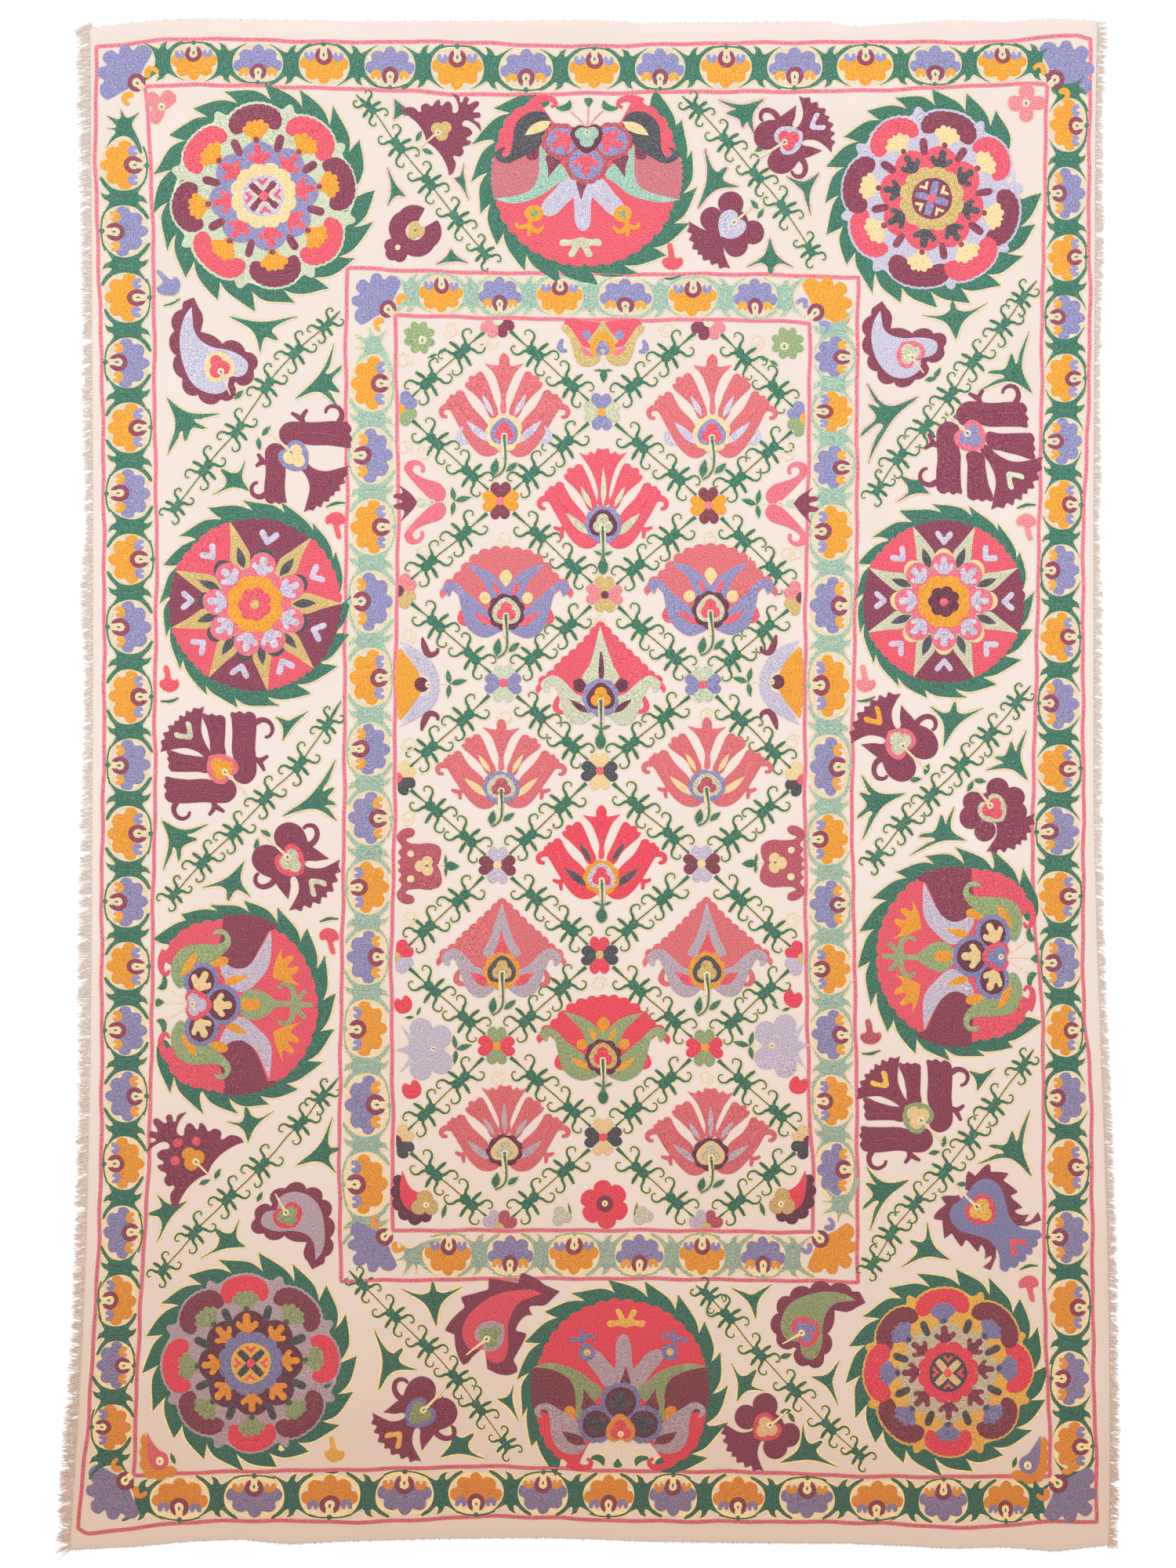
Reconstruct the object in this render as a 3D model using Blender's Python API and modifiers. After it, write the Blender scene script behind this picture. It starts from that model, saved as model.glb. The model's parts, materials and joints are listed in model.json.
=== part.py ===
"""A suzani: an embroidered cotton cloth that lies flat, with frayed threads down its two long sides.

Metres, +Z up. The long sides run along Y and the cloth's head is at +Y. The origin is on the floor,
under the middle of the whole outline.
"""
import math
import random
from collections import namedtuple

import bmesh
import bpy
import numpy as np

# --- Driving sizes ---------------------------------------------------------------------------------
CLOTH_HALF_LENGTH = 1.070    # the mean of the head and foot edges
CLOTH_THICKNESS = 0.0020     # the cotton with its silk stitches
GRID_ACROSS = 32             # cells of the sheet from side to side
GRID_ALONG = 46              # cells of the sheet from foot to head

FRINGE_THICKNESS = 0.0012
STRIP_WIDTH = 0.0040         # the loosened band that the frayed threads hang on to
SEAM_GAP = 0.0003            # clearance between the strip and the cloth's edge
LOCK_COUNT = 118             # locks of thread on each long side
LOCK_ROOT = 0.0078
LOCK_TIP = 0.0020
LOCK_SWAY = 0.0050           # how far a tip may lean up or down the side
LOCK_SHORTEST = 0.45         # the shortest lock, as a share of the length stated for its stretch

# The long sides, from head to foot: where each edge of the cloth runs, and how long its threads are.
Side = namedtuple("Side", "y left left_fringe right right_fringe")
SIDES = [
    Side(1.072, -0.699, 0.025, 0.713, 0.018),
    Side(0.950, -0.698, 0.022, 0.711, 0.012),
    Side(0.760, -0.697, 0.019, 0.710, 0.015),
    Side(0.560, -0.696, 0.018, 0.709, 0.010),
    Side(0.440, -0.695, 0.016, 0.708, 0.014),
    Side(0.365, -0.695, 0.014, 0.708, 0.009),
    Side(0.265, -0.695, 0.023, 0.708, 0.015),
    Side(0.165, -0.695, 0.016, 0.708, 0.015),
    Side(-0.030, -0.696, 0.019, 0.708, 0.015),
    Side(-0.200, -0.697, 0.024, 0.712, 0.013),
    Side(-0.400, -0.699, 0.020, 0.719, 0.015),
    Side(-0.625, -0.704, 0.021, 0.727, 0.016),
    Side(-0.780, -0.710, 0.020, 0.730, 0.015),
    Side(-0.905, -0.717, 0.023, 0.731, 0.017),
    Side(-0.990, -0.723, 0.024, 0.731, 0.015),
    Side(-1.072, -0.727, 0.022, 0.729, 0.015),
]

# The two raw ends, from left to right: where the head and the foot of the cloth run.
End = namedtuple("End", "x head foot")
ENDS = [
    End(-0.727, 1.057, -1.072),
    End(-0.634, 1.069, -1.067),
    End(-0.562, 1.074, -1.060),
    End(-0.491, 1.073, -1.057),
    End(-0.419, 1.072, -1.064),
    End(-0.348, 1.070, -1.060),
    End(-0.205, 1.070, -1.056),
    End(-0.062, 1.071, -1.055),
    End(0.010, 1.072, -1.057),
    End(0.081, 1.067, -1.060),
    End(0.224, 1.069, -1.062),
    End(0.338, 1.070, -1.063),
    End(0.367, 1.062, -1.063),
    End(0.439, 1.067, -1.066),
    End(0.510, 1.072, -1.070),
    End(0.582, 1.069, -1.068),
    End(0.653, 1.074, -1.074),
    End(0.731, 1.069, -1.065),
]

# Soft puckers, where the stitching draws the cotton in and the cloth lifts off the floor.
# along and across are the half sizes of a pucker, and turn is its direction in degrees from +X.
Pucker = namedtuple("Pucker", "x y along across turn height")
PUCKERS = [
    Pucker(-0.500, 0.905, 0.190, 0.075, 24, 0.0032),
    Pucker(0.300, 0.960, 0.240, 0.060, -4, 0.0030),
    Pucker(0.560, 0.560, 0.200, 0.080, 68, 0.0034),
    Pucker(-0.545, 0.450, 0.210, 0.070, 82, 0.0030),
    Pucker(-0.100, 0.560, 0.260, 0.085, -12, 0.0026),
    Pucker(0.120, 0.170, 0.220, 0.090, 35, 0.0024),
    Pucker(-0.260, -0.090, 0.230, 0.080, -52, 0.0028),
    Pucker(0.560, -0.160, 0.240, 0.075, 96, 0.0036),
    Pucker(-0.560, -0.420, 0.220, 0.080, 74, 0.0032),
    Pucker(0.220, -0.460, 0.210, 0.085, 14, 0.0024),
    Pucker(-0.320, -0.860, 0.260, 0.075, 8, 0.0036),
    Pucker(0.410, -0.840, 0.230, 0.080, -18, 0.0034),
]

# Name: (colour as linear RGB, roughness)
FINISHES = {
    "ground_cloth": ((0.90, 0.79, 0.71), 0.92),
    "fringe": ((0.88, 0.75, 0.66), 0.95),
}


# --- The cloth's outline and its surface -----------------------------------------------------------
def read(rows, key, value, at):
    """The value column of a table, read at a place along its key column."""
    ordered = sorted(rows, key=lambda row: getattr(row, key))
    return float(np.interp(at, [getattr(r, key) for r in ordered], [getattr(r, value) for r in ordered]))


def sheet_point(across, along):
    """A point of the sheet: across and along run from 0 to 1, from the left side and from the foot."""
    level = (2 * along - 1) * CLOTH_HALF_LENGTH
    left = read(SIDES, "y", "left", level)
    right = read(SIDES, "y", "right", level)
    x = left + (right - left) * across
    foot = read(ENDS, "x", "foot", x)
    head = read(ENDS, "x", "head", x)
    return x, foot + (head - foot) * along


def lift(x, y):
    """How far the underside of the cloth stands off the floor."""
    height = 0.0
    for fold in PUCKERS:
        turn = math.radians(fold.turn)
        run = (x - fold.x) * math.cos(turn) + (y - fold.y) * math.sin(turn)
        side = (y - fold.y) * math.cos(turn) - (x - fold.x) * math.sin(turn)
        reach = 1 - math.hypot(run / fold.along, side / fold.across)
        if reach > 0:
            height = max(height, fold.height * reach * reach * (3 - 2 * reach))
    return height


def side_points(edge):
    """The corners of the sheet's grid down one long side, from foot to head."""
    across = 0 if edge == "left" else 1
    return [sheet_point(across, row / GRID_ALONG) for row in range(GRID_ALONG + 1)]


# --- Finishes and placing --------------------------------------------------------------------------
def finish(name):
    colour, roughness = FINISHES[name]
    material = bpy.data.materials.new(name)
    material.use_nodes = True
    shader = material.node_tree.nodes["Principled BSDF"]
    shader.inputs["Base Color"].default_value = (*colour, 1)
    shader.inputs["Roughness"].default_value = roughness
    material.diffuse_color = (*colour, 1)
    return material


def add_object(name, data, material):
    data.materials.append(material)
    piece = bpy.data.objects.new(name, data)
    bpy.data.collections["suzani"].objects.link(piece)
    return piece


# --- The pieces ------------------------------------------------------------------------------------
def make_ground_cloth():
    """One sheet: a flat grid moved on to the outline and the puckers, then given its thickness."""
    grid = bmesh.new()
    bmesh.ops.create_grid(grid, x_segments=GRID_ACROSS, y_segments=GRID_ALONG, size=0.5)
    for corner in grid.verts:
        x, y = sheet_point(corner.co.x + 0.5, corner.co.y + 0.5)
        corner.co = (x, y, lift(x, y))
    mesh = bpy.data.meshes.new("ground_cloth")
    grid.to_mesh(mesh)
    grid.free()
    mesh.shade_smooth()
    cloth = add_object("ground_cloth", mesh, finish("ground_cloth"))
    body = cloth.modifiers.new("thickness", "SOLIDIFY")
    body.thickness = CLOTH_THICKNESS
    body.offset = 1
    return cloth


def fringe_outline(edge):
    """The outline of one side's frayed threads: down the strip's inner line, then up round each lock."""
    out = -1 if edge == "left" else 1
    inner = [(x + out * SEAM_GAP, y) for x, y in side_points(edge)]
    ys = [y for _, y in inner]
    xs = [x for x, _ in inner]
    chance = random.Random(edge)
    pitch = (ys[-1] - ys[0]) / LOCK_COUNT
    outer = []
    for lock in range(LOCK_COUNT):
        middle = ys[0] + (lock + 0.5) * pitch
        strip_edge = float(np.interp(middle, ys, xs)) + out * STRIP_WIDTH
        longest = read(SIDES, "y", edge + "_fringe", middle)
        length = longest * chance.uniform(LOCK_SHORTEST, 1) - STRIP_WIDTH
        lean = chance.uniform(-LOCK_SWAY, LOCK_SWAY)
        bend = lean * chance.uniform(0.1, 0.5)
        waist = (LOCK_ROOT + LOCK_TIP) / 2
        outer += [
            (strip_edge, middle - LOCK_ROOT / 2),
            (strip_edge + out * length * 0.55, middle + bend - waist / 2),
            (strip_edge + out * length, middle + lean - LOCK_TIP / 2),
            (strip_edge + out * length, middle + lean + LOCK_TIP / 2),
            (strip_edge + out * length * 0.55, middle + bend + waist / 2),
            (strip_edge, middle + LOCK_ROOT / 2),
        ]
    head = (xs[-1] + out * STRIP_WIDTH, ys[-1])
    foot = (xs[0] + out * STRIP_WIDTH, ys[0])
    return inner[::-1] + [foot] + outer + [head]


def make_fringe(edge, material):
    """One side's locks and the strip that holds their roots, as a flat outline with a thickness."""
    outline = fringe_outline(edge)
    curve = bpy.data.curves.new("fringe_" + edge, "CURVE")
    curve.dimensions = "2D"
    curve.fill_mode = "BOTH"
    curve.extrude = FRINGE_THICKNESS / 2
    spline = curve.splines.new("POLY")
    spline.points.add(len(outline) - 1)
    for point, (x, y) in zip(spline.points, outline):
        point.co = (x, y, 0, 1)
    spline.use_cyclic_u = True
    fringe = add_object("fringe_" + edge, curve, material)
    fringe.location.z = FRINGE_THICKNESS / 2
    return fringe


def main():
    for old in list(bpy.data.objects):
        bpy.data.objects.remove(old, do_unlink=True)
    collection = bpy.data.collections.new("suzani")
    bpy.context.scene.collection.children.link(collection)
    make_ground_cloth()
    threads = finish("fringe")
    make_fringe("left", threads)
    make_fringe("right", threads)


main()
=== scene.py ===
# %% [markdown]
# # A suzani: silk chain stitch on a cotton cloth
#
# A suzani is a bedroom hanging or bed cover from Central Asia. A family drew flowers in ink on plain
# cotton, and worked them in silk, row after row of chain stitch that follows the outline of each shape.
# This notebook lays the cloth on a floor and then does the same: it works out each outline in
# millimetres, fills it with a thin mesh of thread, and lets the rows follow the outline.

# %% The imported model, as the frame
import json
import math
import random

import bmesh
import bpy
import numpy as np
from mathutils.geometry import delaunay_2d_cdt
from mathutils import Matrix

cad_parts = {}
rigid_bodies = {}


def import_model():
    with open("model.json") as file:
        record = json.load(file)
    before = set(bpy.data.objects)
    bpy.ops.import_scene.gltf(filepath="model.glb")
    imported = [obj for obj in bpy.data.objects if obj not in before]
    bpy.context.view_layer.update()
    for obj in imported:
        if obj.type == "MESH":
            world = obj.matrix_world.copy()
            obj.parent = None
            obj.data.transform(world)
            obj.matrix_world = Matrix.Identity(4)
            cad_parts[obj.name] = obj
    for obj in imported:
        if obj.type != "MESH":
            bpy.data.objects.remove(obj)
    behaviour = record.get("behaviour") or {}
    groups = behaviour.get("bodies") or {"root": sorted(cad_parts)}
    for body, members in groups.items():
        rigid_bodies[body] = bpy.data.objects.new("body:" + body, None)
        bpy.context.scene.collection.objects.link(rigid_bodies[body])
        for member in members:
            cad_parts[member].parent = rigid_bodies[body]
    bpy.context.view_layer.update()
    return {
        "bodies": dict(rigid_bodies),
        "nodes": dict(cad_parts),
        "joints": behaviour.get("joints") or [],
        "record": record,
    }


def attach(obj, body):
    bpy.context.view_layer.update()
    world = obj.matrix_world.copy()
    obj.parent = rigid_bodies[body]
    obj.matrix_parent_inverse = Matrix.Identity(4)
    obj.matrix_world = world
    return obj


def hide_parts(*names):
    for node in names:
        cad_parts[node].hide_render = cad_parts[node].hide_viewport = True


for old in list(bpy.data.objects):
    bpy.data.objects.remove(old, do_unlink=True)
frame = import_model()
MM = 0.001

# %% [markdown]
# ## The cloth's own map
#
# Every place on the cloth is written in millimetres from its middle, with x to the right and y to the
# head. A point is one complex number, x + yj: adding moves it, multiplying turns and sizes it, so a
# motif drawn once can be put down anywhere by a single line of arithmetic.

# %% The edges of the cloth
CLOTH_THICKNESS = 2.0
HALF_LENGTH = 1070.0
# Level on the cloth: left edge, length of the left threads, right edge, length of the right threads.
LEFT_EDGE, RIGHT_EDGE = 1, 3     # columns of SIDES
SIDES = np.array([
    (1072, -699, 25, 713, 18), (950, -698, 22, 711, 12), (760, -697, 19, 710, 15), (560, -696, 18, 709, 10),
    (440, -695, 16, 708, 14), (365, -695, 14, 708, 9), (265, -695, 23, 708, 15), (165, -695, 16, 708, 15),
    (-30, -696, 19, 708, 15), (-200, -697, 24, 712, 13), (-400, -699, 20, 719, 15),
    (-625, -704, 21, 727, 16), (-780, -710, 20, 730, 15), (-905, -717, 23, 731, 17),
    (-990, -723, 24, 731, 15), (-1072, -727, 22, 729, 15),
], float)[::-1]
# Place across the cloth: head edge, foot edge.
HEAD_EDGE, FOOT_EDGE = 1, 2      # columns of ENDS
ENDS = np.array([
    (-727, 1057, -1072), (-634, 1069, -1067), (-562, 1074, -1060), (-491, 1073, -1057), (-419, 1072, -1064),
    (-348, 1070, -1060), (-205, 1070, -1056), (-62, 1071, -1055), (10, 1072, -1057), (81, 1067, -1060),
    (224, 1069, -1062), (338, 1070, -1063), (367, 1062, -1063), (439, 1067, -1066), (510, 1072, -1070),
    (582, 1069, -1068), (653, 1074, -1074), (731, 1069, -1065),
], float)
# Soft puckers: x, y, half length, half width, direction in degrees, height.
PUCKERS = [
    (-500, 905, 190, 75, 24, 3.2), (300, 960, 240, 60, -4, 3.0), (560, 560, 200, 80, 68, 3.4),
    (-545, 450, 210, 70, 82, 3.0), (-100, 560, 260, 85, -12, 2.6), (120, 170, 220, 90, 35, 2.4),
    (-260, -90, 230, 80, -52, 2.8), (560, -160, 240, 75, 96, 3.6), (-560, -420, 220, 80, 74, 3.2),
    (220, -460, 210, 85, 14, 2.4), (-320, -860, 260, 75, 8, 3.6), (410, -840, 230, 80, -18, 3.4),
]


def sheet_point(across, along):
    """A point of the sheet in mm: across and along run from 0 to 1, from the left side and the foot."""
    level = (2 * along - 1) * HALF_LENGTH
    left = np.interp(level, SIDES[:, 0], SIDES[:, LEFT_EDGE])
    right = np.interp(level, SIDES[:, 0], SIDES[:, RIGHT_EDGE])
    x = left + (right - left) * across
    foot = np.interp(x, ENDS[:, 0], ENDS[:, FOOT_EDGE])
    head = np.interp(x, ENDS[:, 0], ENDS[:, HEAD_EDGE])
    return x, foot + (head - foot) * along


def lift(x, y):
    """How far the underside of the cloth stands off the floor, in mm."""
    height = np.zeros(np.broadcast(x, y).shape)
    for px, py, along, across, turn, tall in PUCKERS:
        c, s = math.cos(math.radians(turn)), math.sin(math.radians(turn))
        run, side = (x - px) * c + (y - py) * s, (y - py) * c - (x - px) * s
        reach = np.clip(1 - np.hypot(run / along, side / across), 0, 1)
        height = np.maximum(height, tall * reach * reach * (3 - 2 * reach))
    return height


print("cloth at its middle: %.0f mm wide" % (sheet_point(1, .5)[0] - sheet_point(0, .5)[0]))

# %% [markdown]
# ## Drawing outlines
#
# Each petal and leaf is a short list of points that a smooth curve runs through. A point that ends in
# a 1 is a sharp corner, such as the tip of a leaf. A `Place` puts what was drawn around zero on to the
# cloth: moved, turned, sized, and mirrored if need be. Nothing drawn by hand repeats exactly, so a slow
# wave nudges every outline a little, and no two flowers come out quite alike.

# %% Curves and places
STEP = 2.6     # mm between the points of an outline


def smooth(points, closed=True):
    """A smooth curve through (x, y) points, with a corner at each (x, y, 1)."""
    spots = np.array([complex(p[0], p[1]) for p in points])
    sharp = [len(p) > 2 for p in points]
    count = len(spots)
    run = []
    for i in range(count if closed else count - 1):
        a, b = spots[i], spots[(i + 1) % count]
        chord = b - a
        before = spots[i - 1] if closed or i else a
        after = spots[(i + 2) % count] if closed or i + 2 < count else b
        leave = chord if sharp[i] else b - before
        reach = chord if sharp[(i + 1) % count] else after - a
        leave *= abs(chord) / max(abs(leave), 1e-6)
        reach *= abs(chord) / max(abs(reach), 1e-6)
        n = max(1, round(abs(chord) * 1.08 / STEP))
        t = np.arange(n) / n
        run.append(a * (1 + 2 * t) * (1 - t) ** 2 + b * t * t * (3 - 2 * t)
                   + leave * t * (1 - t) ** 2 - reach * t * t * (1 - t))
    if not closed:
        run.append(spots[-1:])
    return np.concatenate(run)


def both_sides(shape):
    """The right half of a shape, from its root up, joined to its mirror image."""
    shape = list(shape)
    return shape + [(-p[0], *p[1:]) for p in shape[::-1] if abs(p[0]) > 0.01]


def polar(radius, start=0.0, end=360.0):
    """The curve whose radius depends on its angle in degrees; a whole turn closes on itself."""
    size = float(np.max(radius(np.linspace(start, end, 90))))
    count = max(8, int(size * math.radians(abs(end - start)) / STEP))
    angle = np.linspace(start, end, count, endpoint=abs(end - start) < 359.9)
    return radius(angle) * np.exp(1j * np.radians(angle))


class Place:
    """Where a motif goes: x and y in mm, turned by degrees, sized, mirrored left to right, and
    stretched to be wider or taller in its own directions."""

    def __init__(self, x=0.0, y=0.0, turn=0.0, size=1.0, mirror=False, on=None, wide=1.0, tall=1.0):
        self.spot, self.spin = complex(x, y), size * np.exp(1j * math.radians(turn))
        self.mirror, self.on, self.wide, self.tall = mirror, on, wide, tall

    def __call__(self, outline):
        outline = np.asarray(outline, complex)
        outline = (-1 if self.mirror else 1) * self.wide * outline.real + 1j * self.tall * outline.imag
        outline = self.spot + self.spin * outline
        return self.on(outline) if self.on else outline


def halves(at):
    """A place and its mirror image, for what is drawn on the right side only."""
    return Place(on=at), Place(mirror=True, on=at)


def circle(radius, start=0.0, end=360.0):
    """A circle about zero, or its arc between two angles in degrees."""
    return polar(lambda angle: radius + 0 * angle, start, end)


def scalloped(path, count, depth, closed=True):
    """The path with count rounded bumps on its outer side (right of its way, outside an
    anticlockwise outline)."""
    ahead = np.roll(path, -1) - np.roll(path, 1) if closed else np.gradient(path)
    ahead = ahead / np.maximum(abs(ahead), 1e-9)
    run = np.concatenate([[0], np.cumsum(abs(np.diff(path)))])
    run = run / (run[-1] + (abs(path[0] - path[-1]) if closed else 0))
    return path - 1j * ahead * depth * (abs(np.sin(np.pi * count * run)) ** 0.6 - (0.5 if closed else 0))


def by_hand(outline):
    """The small unevenness of a drawn line: a slow wave in both directions."""
    x, y = outline.real, outline.imag
    dx = np.sin(y / 13.1 + 2 * np.sin(x / 31)) + 0.8 * np.sin(x / 9.7 + y / 23)
    dy = np.sin(x / 12.3 + 2 * np.sin(y / 37)) + 0.8 * np.sin(y / 10.9 - x / 19)
    return outline + 0.55 * (dx + 1j * dy)


# %% [markdown]
# ## Laying the thread
#
# Real chain stitch stands about half a millimetre proud, and its rows run side by side with the outline.
# A flat decal would miss both. So each outline is filled with triangles that lie a little above the
# cloth and dip at the outline, and every point remembers how far in from the outline it lies. The
# material later draws the rows from that number. Shapes that lie on others get a higher layer, as the
# later stitches did, and leaves and vines lie on a slightly wider shape in a pale thread.

# %% Fills and lines
ROW = 2.7          # mm from one row of chain stitch to the next
RIM = 0.8          # mm from the outline to the ring of points just inside it
INNER = 6.5        # mm between the points inside a fill
LOWEST = 0.35      # mm from the cloth to the lowest layer
LAYER = 0.14       # mm from one layer to the next
SPREAD = 0.13      # mm within which the shapes of one layer differ
GOLDEN = 0.618034  # the step that spreads them evenly
EDGE_DROP = 0.12   # mm by which a fill dips at its outline
HALO_DROP = 0.15   # mm by which the pale thread under a shape lies below the lowest layer
WORK = {}          # thread name: list of (points, heights, depths, triangles)


def top(layer):
    """The height in mm of the next shape laid in a layer: never quite that of another, since two surfaces
    in the same place would shade each other black."""
    laid = sum(len(lots) for lots in WORK.values())
    return LOWEST + LAYER * layer + SPREAD * (laid * GOLDEN % 1)


def widen(outline, by):
    """The outline moved outwards by so many mm (inwards if negative)."""
    edge = np.roll(outline, -1) - outline
    edge = edge / np.maximum(abs(edge), 1e-9)
    out = -1j * edge
    corner = out + np.roll(out, 1)
    corner = corner / np.maximum(abs(corner), 0.5)
    return outline + corner * by


def anticlockwise(outline):
    """The outline run anticlockwise, so that its outer side is on the right of its way."""
    area = np.sum((outline.conjugate() * np.roll(outline, -1)).imag)
    return outline if area > 0 else outline[::-1]


def distance(points, outline):
    """How far each point is from a closed outline."""
    a, b = outline, np.roll(outline, -1)
    ab = b - a
    length = np.maximum(abs(ab) ** 2, 1e-9)
    rel = points[:, None] - a[None, :]
    t = np.clip((rel * ab.conjugate()).real / length, 0, 1)
    return abs(rel - t * ab).min(1)


def inside(points, outline):
    """Which points lie inside a closed outline: those whose level line crosses it an odd number of times."""
    a, b = outline, np.roll(outline, -1)
    y = points.imag[:, None]
    crosses = (a.imag > y) != (b.imag > y)
    rise = np.where(abs(b.imag - a.imag) < 1e-12, 1e-12, b.imag - a.imag)
    at = a.real + (y - a.imag) / rise * (b.real - a.real)
    return (crosses & (points.real[:, None] < at)).sum(1) % 2 == 1


def fill(thread, outline, layer=1, halo=0.0):
    """Fills an outline with thread; halo is how many mm of pale thread show all round it."""
    outline = anticlockwise(by_hand(np.asarray(outline)))
    if halo:
        lay_round(outline, halo)
    lay(thread, outline, layer)


def triangles(outline, inner=()):
    """Points and triangles that fill an outline, by way of the points inside it."""
    points = np.concatenate([outline, inner]) if len(inner) else outline
    mesh = delaunay_2d_cdt([(p.real, p.imag) for p in points], [], [list(range(len(outline)))], 1, 1e-4)
    verts = np.array([complex(v.x, v.y) for v in mesh[0]])
    return verts, np.array([f for f in mesh[2] if len(f) == 3], int).reshape(-1, 3)


def covered(verts, faces=None):
    """The area inside an outline, or that of some triangles."""
    if faces is None:
        return abs(np.sum((verts.conjugate() * np.roll(verts, -1)).imag)) / 2
    a, b, c = verts[faces].T
    return np.sum(abs(((b - a).conjugate() * (c - a)).imag)) / 2


def rounded(height, depth):
    """The height of thread at a depth inside its outline: it dips at the outline itself."""
    return height - EDGE_DROP * (1 - np.minimum(1, depth / (RIM * 0.9)) ** 0.6)


def lay_round(outline, wide, thread="cream_outline"):
    """Pale thread under a shape, so many mm wider than it all round."""
    around_it = widen(outline, wide)
    around_it = around_it[distance(around_it, outline) > 0.9 * wide]    # without the loops in its notches
    verts, faces = triangles(around_it)
    level = np.full(len(verts), top(0) - HALO_DROP)
    WORK.setdefault(thread, []).append((verts, level, np.zeros(len(verts)), faces))


def grid_inside(outline):
    """Points INNER mm apart, row by row, that lie inside an outline and well off it."""
    low = outline.real.min() + 1j * outline.imag.min()
    high = outline.real.max() + 1j * outline.imag.max()
    grid = np.zeros(0, complex)
    if min((high - low).real, (high - low).imag) > 2 * RIM + 2:
        rows = np.arange(low.imag, high.imag, INNER * 0.866)    # rows of equal-sided triangles
        grid = np.concatenate([np.arange(low.real + INNER / 2 * (n % 2), high.real, INNER) + 1j * y
                               for n, y in enumerate(rows)])
        grid = grid[inside(grid, outline)]
        if len(grid):
            grid = grid[distance(grid, outline) > RIM + INNER * 0.45]
    return grid


def lay(thread, outline, layer):
    """Thread that fills an outline: its own points, a ring just inside it, and a grid."""
    ring = widen(outline, -RIM)
    ring = ring[distance(ring, outline) > RIM * 0.75]
    ring = ring[inside(ring, outline)] if len(ring) else ring
    grid = grid_inside(outline)
    verts, faces = triangles(outline, np.concatenate([ring, grid]))
    if covered(verts, faces) < 0.8 * covered(outline):      # the outline crosses itself somewhere
        verts, faces = triangles(outline[::2], grid)
    depth = distance(verts, outline)
    depth[depth < 0.02] = 0
    WORK.setdefault(thread, []).append((verts, rounded(top(layer), depth), depth, faces))


def line(thread, path, width, layer=1, halo=0.0, closed=False):
    """A line of stitches along a path; width is one number, or several read along it."""
    path = by_hand(np.asarray(path))
    if halo:
        ribbon(HALO_THREAD, path, np.atleast_1d(width) + 2 * halo, 0, closed)
    ribbon(thread, path, np.atleast_1d(width), layer, closed)


def patch(at, thread, points, layer=1, halo=0.0):
    """Fills the smooth shape through (x, y) points."""
    fill(thread, at(smooth(points)), layer, halo)


def hook(at, thread, points, widths, layer=1, halo=0.0):
    """A curled line through (x, y) points that thins out towards its end."""
    line(thread, at(smooth(points, closed=False)), widths, layer, halo)


def ribbon(thread, path, width, layer, closed):
    """A flat band along a path, with two more rows of points where it is wide and not a halo."""
    ahead = np.roll(path, -1) - np.roll(path, 1) if closed else np.gradient(path)
    ahead = ahead / np.maximum(abs(ahead), 1e-9)
    run = np.linspace(0, 1, len(path))
    half = np.interp(run, np.linspace(0, 1, len(width)), width) / 2
    sides = (-1, -0.55, 0, 0.55, 1) if layer and half.max() > 3 else (-1, 0, 1)
    verts = np.concatenate([path + 1j * ahead * half * s for s in sides])
    depth = np.concatenate([half * (1 - abs(s)) for s in sides])
    height = rounded(top(layer), depth)
    n, faces = len(path), []
    for band in range(len(sides) - 1):
        for i in range(n if closed else n - 1):
            j, a, b = (i + 1) % n, band * n, (band + 1) * n
            faces += [(a + i, b + j, b + i), (a + i, a + j, b + j)]
    WORK.setdefault(thread, []).append((verts, height, depth, np.array(faces)))


# %% [markdown]
# ## The silks
#
# Home-dyed floss silk: cochineal and madder reds, indigo blue, greens made by dipping yellow in indigo.
# Silk has a soft sheen and an IOR near 1.54. The eye reads the rows of chain stitch as fine contour
# lines, with painted shade between the loops and bright flecks that are painted glints of the sheen
# mixed with a little of the cotton that shows between the loops. The material paints both into the
# colour: rows from the stored depth, shade and glints from a noise as coarse as one loop.

# %% Colours and a node helper
THREADS = {
    "cream_outline": "E2CAA8", "pink_line": "F07A8A", "cochineal_coral": "EE4E62",
    "cochineal_crimson": "F23A50", "rose": "E0686E", "rose_bright": "EE6C7E", "plum": "842A48",
    "plum_dark": "621636", "wine": "802D40", "raspberry": "B94F5E", "chocolate": "7D2A38", "mauve": "CA6C76",
    "indigo_pale": "8C89B8", "indigo": "7F83B8", "gold": "F09C10", "yellow_deep": "F8C24C",
    "pale_yellow": "EFD096", "green": "267057", "teal_vine": "9CBBA6", "teal_pale": "9CC3AF",
    "sage": "CBCCAA", "moss": "93AA72", "olive": "8D9C6A", "khaki": "D3B46C", "mint": "CCD4B4",
    "charcoal": "42434A", "lilac": "C6C0D6", "lilac_grey": "B8ACB8", "pink_soft": "EF868C",
    "stem_dark": "4C6450", "blush_outline": "ECBFAE",
}
HALO_THREAD = "cream_outline"
HALO_THREADS = ("cream_outline", "blush_outline")
# Threads whose rows and flecks show less contrast than the others' 1.
CALM = {"cream_outline": 0.15, "blush_outline": 0.5, "pale_yellow": 0.45, "gold": 0.7}
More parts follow.
